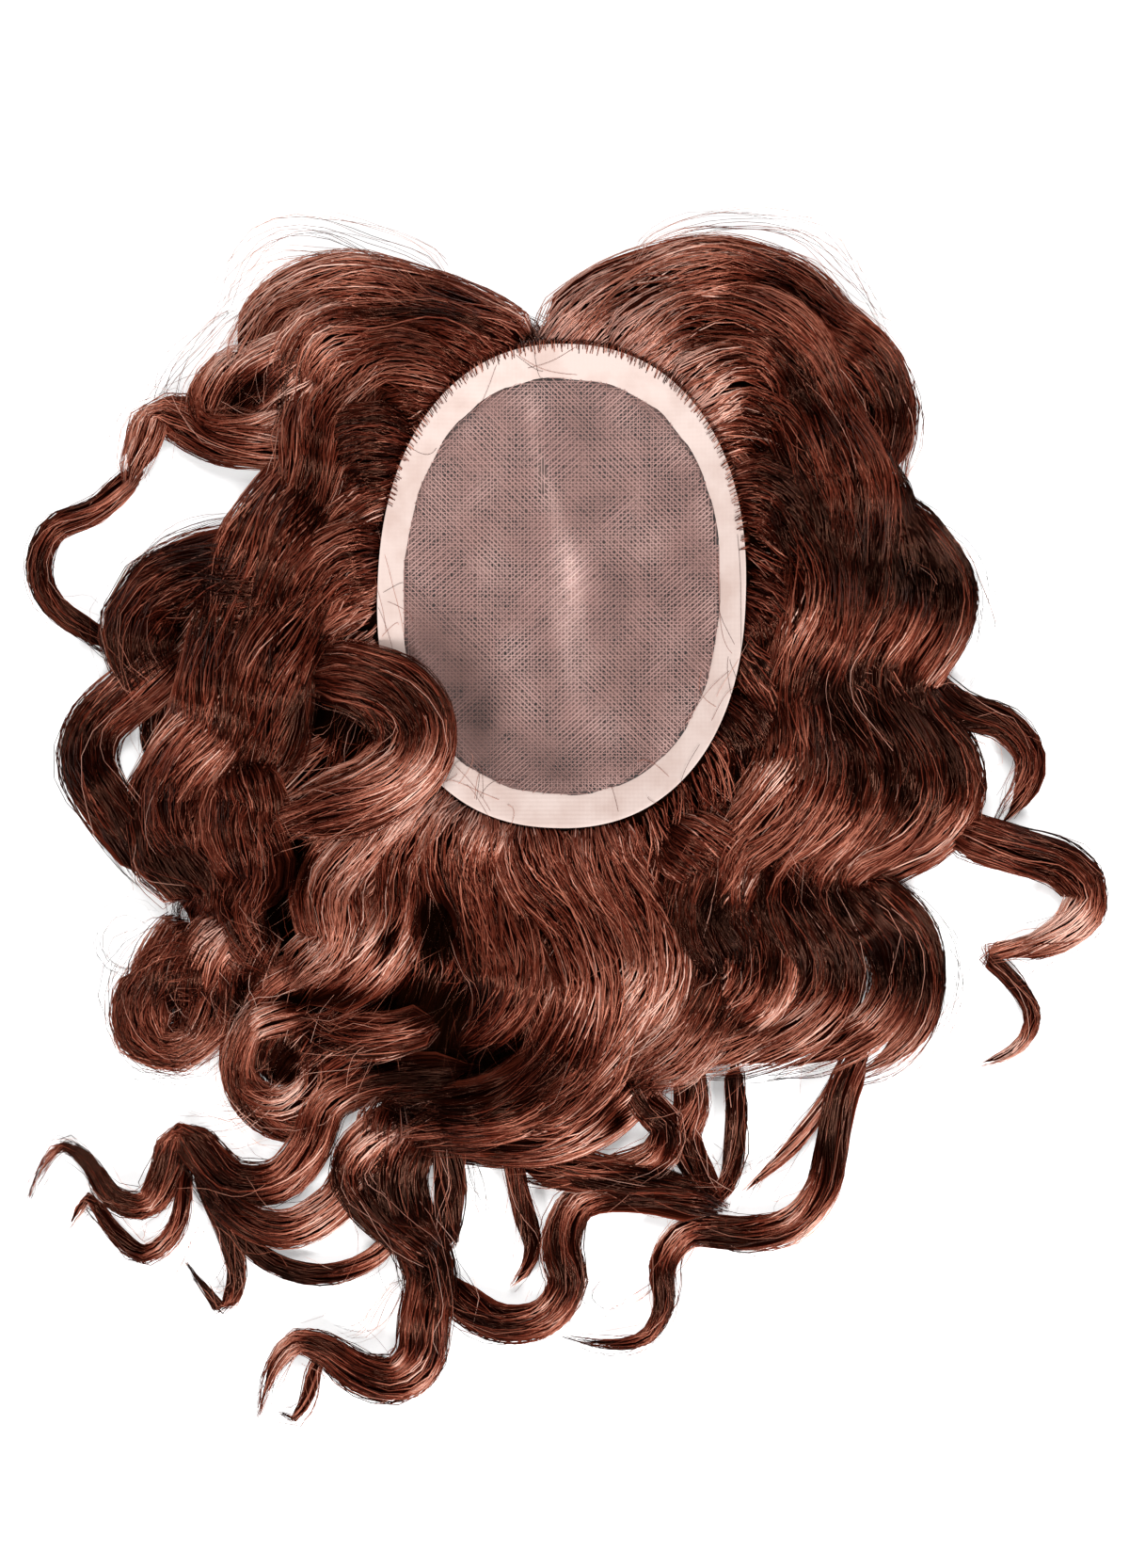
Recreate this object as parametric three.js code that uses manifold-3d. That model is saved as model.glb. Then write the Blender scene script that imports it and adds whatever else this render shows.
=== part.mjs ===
import * as THREE from 'three';
import { mergeVertices } from 'three/addons/utils/BufferGeometryUtils.js';
import Module from 'manifold-3d';

const wasm = await Module();
wasm.setup();

// Millimetres, Z up: the hair lies on the floor, and the scalp side of the base faces up with its front edge
// towards +Y.
const GAP = 0.3;
const BASE = { halfWide: 70, halfLong: 92, power: 2.25, egg: 0.02, turn: -2, low: 16, deep: 18, around: 48 };
const PANEL = { edge: 0.855, thick: 1.2, rings: 5 };
const BAND = { thick: 1.4, rings: 2 };
const LOCK = { sides: 6, stepsPerPoint: 1.4, flat: 0.36, settle: 0.45, bend: 0.85 };
const BOUNCE = { high: 0.1, long: 62, look: 5 };
const END = { start: 0.55, point: 0.35, share: 0.08, taper: 0.5 };
const SKY = 120;
const FLOOR = 600;

// The dense hair under the locks: how far it spreads from the middle of the base, every 15 degrees from +X
// towards +Y, and its height at shares of the way from the rim to that spread.
const SPREAD = [
  146, 126, 126, 132, 130, 120, 104, 112, 132, 144, 140, 132,
  165, 178, 186, 200, 212, 216, 224, 206, 203, 188, 165, 152,
];
const MOUND = [
  { share: 0.05, high: 33 },
  { share: 0.3, high: 20 },
  { share: 0.65, high: 11 },
  { share: 1, high: 3 },
];

const COLOUR = { net: 0x977570, film: 0xe8d5ce, hair: 0x6a3d32 };

// One row per lock of hair: width at the middle and at the tip, height of the root and of the lock where it
// lies, and the few points (X, Y from the middle of the base) that its waves and curls pass through.
const LOCKS = [
  { lock: 'front left crest', wide: 30, tip: 17, root: 22, lie: 13,
    via: [[-13, 87], [-50, 110], [-88, 119], [-111, 111], [-120, 97], [-128, 84]] },
  { lock: 'front left inner', wide: 30, tip: 21, root: 22, lie: 19,
    via: [[-23, 83], [-58, 99], [-88, 97], [-101, 82], [-106, 64], [-118, 55]] },
  { lock: 'front left temple', wide: 32, tip: 26, root: 22, lie: 20,
    via: [[-38, 74], [-70, 84], [-90, 68], [-95, 44], [-106, 14]] },
  { lock: 'temple curl upper', wide: 14, tip: 11, root: 18, lie: 12,
    via: [[-98, 64], [-122, 60], [-142, 68], [-138, 84], [-122, 92]] },
  { lock: 'temple curl lower', wide: 19, tip: 12, root: 15, lie: 10,
    via: [[-100, 55], [-131, 57], [-148, 66], [-157, 68], [-161, 56], [-167, 39]] },
  { lock: 'outer left loop', wide: 10, tip: 9, root: 8, lie: 6,
    via: [[-163, 48], [-179, 31], [-197, 23], [-202, 8], [-196, -6], [-181, -17], [-168, -27]] },
  { lock: 'left upper', wide: 37, tip: 30, root: 22, lie: 20,
    via: [[-52, 50], [-82, 50], [-104, 28], [-119, 2], [-127, -26], [-135, -56]] },
  { lock: 'left middle', wide: 35, tip: 30, root: 22, lie: 22,
    via: [[-61, 14], [-90, 4], [-106, -24], [-114, -58], [-122, -88]] },
  { lock: 'left lobe', wide: 35, tip: 23, root: 17, lie: 12,
    via: [[-108, 10], [-144, 3], [-160, -8], [-162, -24], [-152, -42]] },
  { lock: 'left outer', wide: 23, tip: 16, root: 12, lie: 9,
    via: [[-146, -24], [-165, -40], [-180, -53], [-183, -67], [-175, -84], [-166, -100], [-156, -116]] },
  { lock: 'left lower', wide: 32, tip: 23, root: 20, lie: 14,
    via: [[-130, -46], [-148, -72], [-157, -92], [-146, -106], [-137, -118], [-143, -136]] },
  { lock: 'left lower inner', wide: 28, tip: 23, root: 22, lie: 16,
    via: [[-122, -66], [-117, -90], [-128, -108], [-126, -130], [-112, -148]] },
  { lock: 'ball curl', wide: 18, tip: 14, root: 15, lie: 11,
    via: [[-124, -136], [-149, -143], [-163, -156], [-160, -173], [-147, -180], [-135, -172],
      [-137, -158]] },
  { lock: 'small loop', wide: 5, tip: 4, root: 8, lie: 6,
    via: [[-156, -150], [-174, -146], [-178, -134], [-170, -125], [-156, -128]] },
  { lock: 'ring curl', wide: 13, tip: 11, root: 14, lie: 10,
    via: [[-96, -164], [-120, -170], [-124, -188], [-111, -198], [-97, -191], [-96, -176]] },
  { lock: 'back left', wide: 30, tip: 26, root: 22, lie: 22,
    via: [[-52, -67], [-78, -95], [-89, -116], [-87, -136], [-104, -154]] },
  { lock: 'back left inner', wide: 26, tip: 23, root: 22, lie: 20,
    via: [[-38, -76], [-60, -105], [-63, -126], [-76, -146], [-102, -162]] },
  { lock: 'back middle left', wide: 35, tip: 26, root: 22, lie: 22,
    via: [[-18, -81], [-26, -115], [-16, -140], [-26, -162], [-50, -171], [-80, -173], [-104, -168]] },
  { lock: 'back middle', wide: 32, tip: 23, root: 22, lie: 20,
    via: [[2, -82], [9, -115], [2, -145], [3, -170], [-12, -189], [-42, -198], [-72, -193]] },
  { lock: 'back middle right', wide: 30, tip: 19, root: 22, lie: 17,
    via: [[22, -80], [36, -110], [31, -138], [26, -161], [14, -186], [-6, -203], [-40, -206],
      [-66, -211]] },
  { lock: 'back sweep', wide: 18, tip: 12, root: 15, lie: 9,
    via: [[44, -160], [30, -190], [9, -209], [-20, -214], [-52, -213], [-76, -223], [-88, -238],
      [-105, -247], [-122, -243], [-138, -228], [-147, -209]] },
  { lock: 'back left hook', wide: 17, tip: 4, root: 12, lie: 8,
    via: [[-72, -190], [-90, -198], [-97, -215], [-110, -229], [-127, -229], [-140, -216], [-147, -209],
      [-152, -225], [-160, -238], [-173, -235], [-183, -221], [-193, -215], [-200, -223], [-206, -236]] },
  { lock: 'hook under curl', wide: 7, tip: 4, root: 7, lie: 5,
    via: [[-144, -222], [-150, -248], [-162, -257], [-173, -248], [-183, -235], [-191, -247]] },
  { lock: 'lower left arc', wide: 8, tip: 7, root: 8, lie: 6,
    via: [[-58, -238], [-72, -257], [-92, -265], [-110, -261], [-125, -250], [-140, -232]] },
  { lock: 'teardrop loop', wide: 6, tip: 4, root: 6, lie: 5,
    via: [[-134, -236], [-127, -256], [-127, -270], [-132, -279], [-138, -271], [-147, -255]] },
  { lock: 'long tail', wide: 17, tip: 5, root: 14, lie: 9,
    via: [[-58, -208], [-60, -238], [-53, -262], [-53, -286], [-60, -303], [-73, -304], [-88, -296],
      [-102, -292], [-112, -303], [-117, -321]] },
  { lock: 'tail hook', wide: 5, tip: 3, root: 7, lie: 4,
    via: [[-93, -292], [-97, -308], [-102, -319], [-108, -321], [-113, -312]] },
  { lock: 'low cross', wide: 15, tip: 14, root: 14, lie: 9,
    via: [[-62, -206], [-20, -214], [10, -224], [40, -232], [64, -240]] },
  { lock: 'low hook', wide: 15, tip: 16, root: 10, lie: 8,
    via: [[62, -241], [32, -234], [7, -237], [0, -252], [2, -268], [-7, -281], [-23, -283], [-38, -274],
      [-52, -256]] },
  { lock: 'low fall left', wide: 12, tip: 12, root: 12, lie: 8,
    via: [[-44, -208], [-43, -234], [-48, -258]] },
  { lock: 'low fall right', wide: 6, tip: 5, root: 8, lie: 6,
    via: [[-20, -212], [-19, -234], [-13, -252], [-5, -270]] },
  { lock: 'right tail', wide: 11, tip: 4, root: 12, lie: 7,
    via: [[100, -186], [104, -213], [101, -231], [89, -245], [70, -249], [49, -248], [39, -260],
      [39, -277], [32, -289], [17, -291], [0, -288]] },
  { lock: 'right fall', wide: 8, tip: 6, root: 10, lie: 6,
    via: [[66, -182], [67, -210], [64, -230], [54, -241]] },
  { lock: 'right wisp', wide: 5, tip: 3, root: 9, lie: 6,
    via: [[103, -196], [92, -213], [81, -223], [68, -234]] },
  { lock: 'front right crest', wide: 30, tip: 21, root: 22, lie: 13,
    via: [[-8, 88], [20, 112], [57, 121], [88, 113], [103, 98], [119, 84], [126, 66], [122, 46],
      [121, 26]] },
  { lock: 'front right inner', wide: 32, tip: 26, root: 22, lie: 21,
    via: [[16, 84], [49, 104], [77, 99], [93, 84], [101, 64], [110, 44], [114, 20], [111, -6],
      [105, -26]] },
  { lock: 'front right temple', wide: 30, tip: 26, root: 22, lie: 22,
    via: [[41, 68], [70, 80], [87, 70], [95, 50], [103, 24]] },
  { lock: 'right upper', wide: 32, tip: 26, root: 22, lie: 23,
    via: [[58, 36], [85, 33], [99, 14], [103, -10], [97, -30], [94, -50], [97, -68], [86, -88],
      [67, -106]] },
  { lock: 'right middle', wide: 30, tip: 26, root: 22, lie: 20,
    via: [[62, 0], [81, -12], [86, -36], [87, -60], [79, -85], [62, -106], [56, -130], [62, -152]] },
  { lock: 'right lower', wide: 28, tip: 23, root: 22, lie: 18,
    via: [[56, -40], [73, -62], [68, -84], [47, -101], [44, -116]] },
  { lock: 'right wave', wide: 30, tip: 21, root: 18, lie: 13,
    via: [[122, 40], [125, 20], [121, 0], [119, -16], [128, -35], [140, -53], [147, -72], [144, -88],
      [129, -101], [108, -107], [94, -117]] },
  { lock: 'outer right loop', wide: 15, tip: 11, root: 12, lie: 8,
    via: [[122, 34], [146, 13], [153, -3], [147, -19], [139, -34], [151, -45], [171, -52], [181, -65],
      [178, -80], [166, -95]] },
  { lock: 'outer right hook', wide: 19, tip: 8, root: 11, lie: 8,
    via: [[148, -93], [174, -101], [194, -107], [203, -118], [197, -129], [182, -138], [165, -141]] },
  { lock: 'outer right tip', wide: 7, tip: 4, root: 8, lie: 5,
    via: [[162, -138], [177, -151], [182, -163], [177, -175], [160, -184]] },
  { lock: 'right long wave', wide: 30, tip: 21, root: 22, lie: 16,
    via: [[107, -18], [110, -44], [124, -65], [134, -82], [123, -98], [103, -108], [97, -121],
      [108, -136], [115, -151], [106, -167], [80, -178], [48, -187]] },
  { lock: 'right bulge', wide: 26, tip: 16, root: 14, lie: 10,
    via: [[93, -114], [124, -122], [139, -138], [140, -158], [128, -176], [104, -190]] },
  { lock: 'back right', wide: 30, tip: 23, root: 22, lie: 17,
    via: [[38, -90], [68, -114], [77, -135], [73, -155], [54, -170], [34, -188]] },
];
// The one lock that has fallen across the band into the hollow.
const OVER_LOCK = { lock: 'over the band', wide: 23, tip: 20, root: 30, lie: 41,
  via: [[-100, -42], [-76, -34], [-56, -40], [-49, -56], [-57, -70], [-78, -78], [-102, -80]] };

const smooth = (from, to, x) => THREE.MathUtils.smoothstep(x, from, to);
const mix = THREE.MathUtils.lerp;

function solid(geometry) {
  geometry.deleteAttribute('normal');
  geometry.deleteAttribute('uv');
  const merged = mergeVertices(geometry, 1e-4);
  return new wasm.Manifold(new wasm.Mesh({
    numProp: 3,
    vertProperties: Float32Array.from(merged.attributes.position.array),
    triVerts: Uint32Array.from(merged.index.array),
  }));
}

// Height of the middle of the base's wall: a shallow bowl, given by the share of the way out to the rim.
const bowl = (out) => BASE.low + BASE.deep * out * out;

// A point of the base's rim, a rounded-square oval, narrower at the front and turned a little.
function rim(angle) {
  const reach = (part, half) => Math.sign(part) * half * Math.abs(part) ** (2 / BASE.power);
  const x = reach(Math.cos(angle), BASE.halfWide) * (1 - BASE.egg * Math.sin(angle));
  const y = reach(Math.sin(angle), BASE.halfLong);
  return new THREE.Vector2(x, y).rotateAround(new THREE.Vector2(), THREE.MathUtils.degToRad(BASE.turn));
}

// How far the dense hair spreads in a direction, read between the rows of the table.
function spread(angle) {
  const row = THREE.MathUtils.euclideanModulo((angle / (2 * Math.PI)) * SPREAD.length, SPREAD.length);
  const before = Math.floor(row);
  return mix(SPREAD[before], SPREAD[(before + 1) % SPREAD.length], smooth(0, 1, row - before));
}

// A lathed profile of (way out, height): ways out up to 1 run from the middle of the base to its rim,
// and from 1 to 2 on from the rim to the spread of the hair.
function ovalTurned(profile) {
  const points = profile.map(([out, high]) => new THREE.Vector2(out, high));
  const geometry = new THREE.LatheGeometry(points, BASE.around);
  const at = geometry.attributes.position;
  for (let i = 0; i < at.count; i++) {
    const out = Math.hypot(at.getX(i), at.getZ(i));
    const edge = rim(Math.atan2(at.getX(i), at.getZ(i)));
    const beyond = edge.clone().setLength(spread(edge.angle()));
    const spot = out > 1 ? edge.clone().lerp(beyond, out - 1) : edge.clone().multiplyScalar(out);
    at.setXYZ(i, spot.x, spot.y, at.getY(i));
  }
  return solid(geometry);
}

// Points along the bowl, from one share of the way out to another, held off the middle of the wall.
function bowlLine(from, to, off, rings) {
  return Array.from({ length: rings + 1 }, (_, i) => {
    const out = mix(from, to, i / rings);
    return [out, bowl(out) + off];
  });
}

function shell(from, to, thick, rings) {
  const under = bowlLine(from, to, -thick / 2, rings);
  const over = bowlLine(to, from, thick / 2, rings);
  return ovalTurned([...under, ...over, under[0]]);
}

const gapOut = GAP / BASE.halfWide;
const clear = BAND.thick / 2 + GAP;
const BASE_RINGS = PANEL.rings + BAND.rings;

// What the hair keeps clear of: the wall of the base alone, or the wall and the whole hollow above it.
const wallRoom = shell(0, 1 + gapOut, 2 * clear, BASE_RINGS);
const hollowRoom = ovalTurned([...bowlLine(0, 1 + gapOut, -clear, BASE_RINGS), [1 + gapOut, SKY], [0, SKY]]);

// The dense hair, flat where it rests and standing a little above the rim.
const top = MOUND[0].high;
const slope = MOUND.map((row) => [1 + row.share, row.high]).reverse();
const bed = ovalTurned([[0, 0], [2, 0], ...slope, [1, top], [0, top]]);

function lockWidth(row, along) {
  const body = mix(row.wide, row.tip, smooth(END.taper, 1, along));
  const start = mix(END.start, 1, smooth(0, END.share, along));
  const point = mix(END.point, 1, smooth(0, END.share, 1 - along));
  return body * start * point;
}

// A tube of flattened sections along the lock's curve, narrowed where the curve bends too tightly for it.
function lock(row) {
  const points = row.via.map(([x, y]) => new THREE.Vector3(x, y, 0));
  const line = new THREE.CatmullRomCurve3(points, false, 'centripetal');
  const long = line.getLength();
  const steps = Math.round(LOCK.stepsPerPoint * row.via.length);
  const geometry = new THREE.CylinderGeometry(1, 1, 1, LOCK.sides, steps);
  const at = geometry.attributes.position;
  for (let i = 0; i < at.count; i++) {
    const along = THREE.MathUtils.clamp(0.5 - at.getY(i), 0, 1);
    const middle = line.getPointAt(along);
    const tangent = line.getTangentAt(along);
    const reach = BOUNCE.look / long;
    const ahead = line.getTangentAt(Math.min(1, along + reach));
    const behind = line.getTangentAt(Math.max(0, along - reach));
    const radius = (2 * reach * long) / Math.max(1e-3, ahead.angleTo(behind));
    const wide = lockWidth(row, along);
    const half = Math.min(wide / 2, LOCK.bend * radius);
    const wave = BOUNCE.high * wide * Math.sin((2 * Math.PI * along * long) / BOUNCE.long);
    const high = mix(row.root, row.lie, smooth(0, LOCK.settle, along)) + wave;
    at.setXYZ(i,
      middle.x + tangent.y * half * at.getX(i),
      middle.y - tangent.x * half * at.getX(i),
      high - LOCK.flat * wide * at.getZ(i));
  }
  return solid(geometry);
}

const above = solid(new THREE.BoxGeometry(FLOOR, 2 * FLOOR, SKY).translate(0, 0, SKY / 2));
let hair = bed;
for (const row of LOCKS) hair = hair.add(lock(row));
hair = hair.subtract(hollowRoom).add(lock(OVER_LOCK).subtract(wallRoom)).intersect(above);
const [mane] = hair.decompose().sort((a, b) => b.volume() - a.volume());

function mesh(name, body, material) {
  const { vertProperties, triVerts } = body.getMesh();
  const geometry = new THREE.BufferGeometry();
  geometry.setAttribute('position', new THREE.BufferAttribute(vertProperties, 3));
  geometry.setIndex(new THREE.BufferAttribute(triVerts, 1));
  geometry.computeVertexNormals();
  const node = new THREE.Mesh(geometry, material);
  node.name = name;
  return node;
}

const net = new THREE.MeshStandardMaterial({ name: 'brown_net', color: COLOUR.net, roughness: 0.8 });
const film = new THREE.MeshStandardMaterial({ name: 'pale_film', color: COLOUR.film, roughness: 0.4 });
const strands = new THREE.MeshStandardMaterial({ name: 'auburn_hair', color: COLOUR.hair, roughness: 0.45 });

const group = new THREE.Group();
group.name = 'hair_topper';
group.add(mesh('mesh_panel', shell(0, PANEL.edge - gapOut, PANEL.thick, PANEL.rings), net));
group.add(mesh('skin_band', shell(PANEL.edge, 1, BAND.thick, BAND.rings), film));
group.add(mesh('hair', mane, strands));

// The origin is the middle of the underside of the whole box.
const box = new THREE.Box3().setFromObject(group);
const shift = box.getCenter(new THREE.Vector3()).setZ(box.min.z).negate();
for (const node of group.children) node.geometry.translate(shift.x, shift.y, shift.z);

export default group;
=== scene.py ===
"""A hair topper lying hair side down, seen from straight above.

An oval base of brown net in a band of pale film lies in the middle of auburn hair, which spreads around it
in wavy locks. Lengths in the tables are millimetres from the middle of the base, X to the right and Y
towards the front edge, with heights above the floor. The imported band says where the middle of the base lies.
"""

import logging
import math
import zlib
from collections.abc import Mapping, Sequence
from dataclasses import dataclass, field
from enum import Enum
from typing import Any

import bpy
import numpy as np
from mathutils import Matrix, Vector


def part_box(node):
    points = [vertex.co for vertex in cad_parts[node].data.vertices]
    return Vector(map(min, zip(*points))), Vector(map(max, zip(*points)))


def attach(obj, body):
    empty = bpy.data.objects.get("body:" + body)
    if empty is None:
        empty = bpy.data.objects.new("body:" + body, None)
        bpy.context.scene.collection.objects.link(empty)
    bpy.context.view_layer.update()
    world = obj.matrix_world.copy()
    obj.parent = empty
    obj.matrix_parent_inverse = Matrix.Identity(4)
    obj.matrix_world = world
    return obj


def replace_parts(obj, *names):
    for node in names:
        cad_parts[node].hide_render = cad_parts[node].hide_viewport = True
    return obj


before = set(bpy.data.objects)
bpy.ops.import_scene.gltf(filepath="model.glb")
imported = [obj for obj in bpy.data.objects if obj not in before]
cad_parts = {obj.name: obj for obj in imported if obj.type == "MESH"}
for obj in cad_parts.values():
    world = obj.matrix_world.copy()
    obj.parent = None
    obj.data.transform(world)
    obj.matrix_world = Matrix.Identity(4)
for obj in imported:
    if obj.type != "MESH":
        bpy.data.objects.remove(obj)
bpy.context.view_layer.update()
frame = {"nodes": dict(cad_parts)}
LOG = logging.getLogger("hair_topper")
MM = 0.001
TURN = 2.0 * math.pi
BAKE_MAP = "OFBake"


class Region(Enum):
    """Where a lock of hair lies around the base, as a piece of the model."""

    FRONT_LEFT = "front_left"
    FRONT_RIGHT = "front_right"
    LEFT = "left"
    RIGHT = "right"
    BACK = "back"
    ENDS = "ends"


class Layer(Enum):
    """Which side of the base's wall a lock keeps to."""

    UNDER = "under the base"
    OVER = "over the base"


@dataclass(frozen=True)
class LockRow:
    """One lock of hair.

    Attributes:
        name: what the lock is called.
        region: the piece it belongs to.
        wide: width at the middle.
        tip: width at the tip.
        root: height of the root.
        lie: height of the lock where it lies.
        via: points that its waves and curls pass through.
        layer: the side of the base it keeps to.
        settle: share of its length over which it comes down from the root's height.
        light: how much lighter it is than its region, partly its own tint and partly painted light and shade.
        fade: how much darker it gets towards the tip, as painted shade; when negative, lighter as painted
            light.
    """

    name: str
    region: Region
    wide: float
    tip: float
    root: float
    lie: float
    via: tuple[tuple[float, float], ...]
    layer: Layer = Layer.UNDER
    settle: float = 0.45
    light: float = 0.0
    fade: float = 0.0


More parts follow.
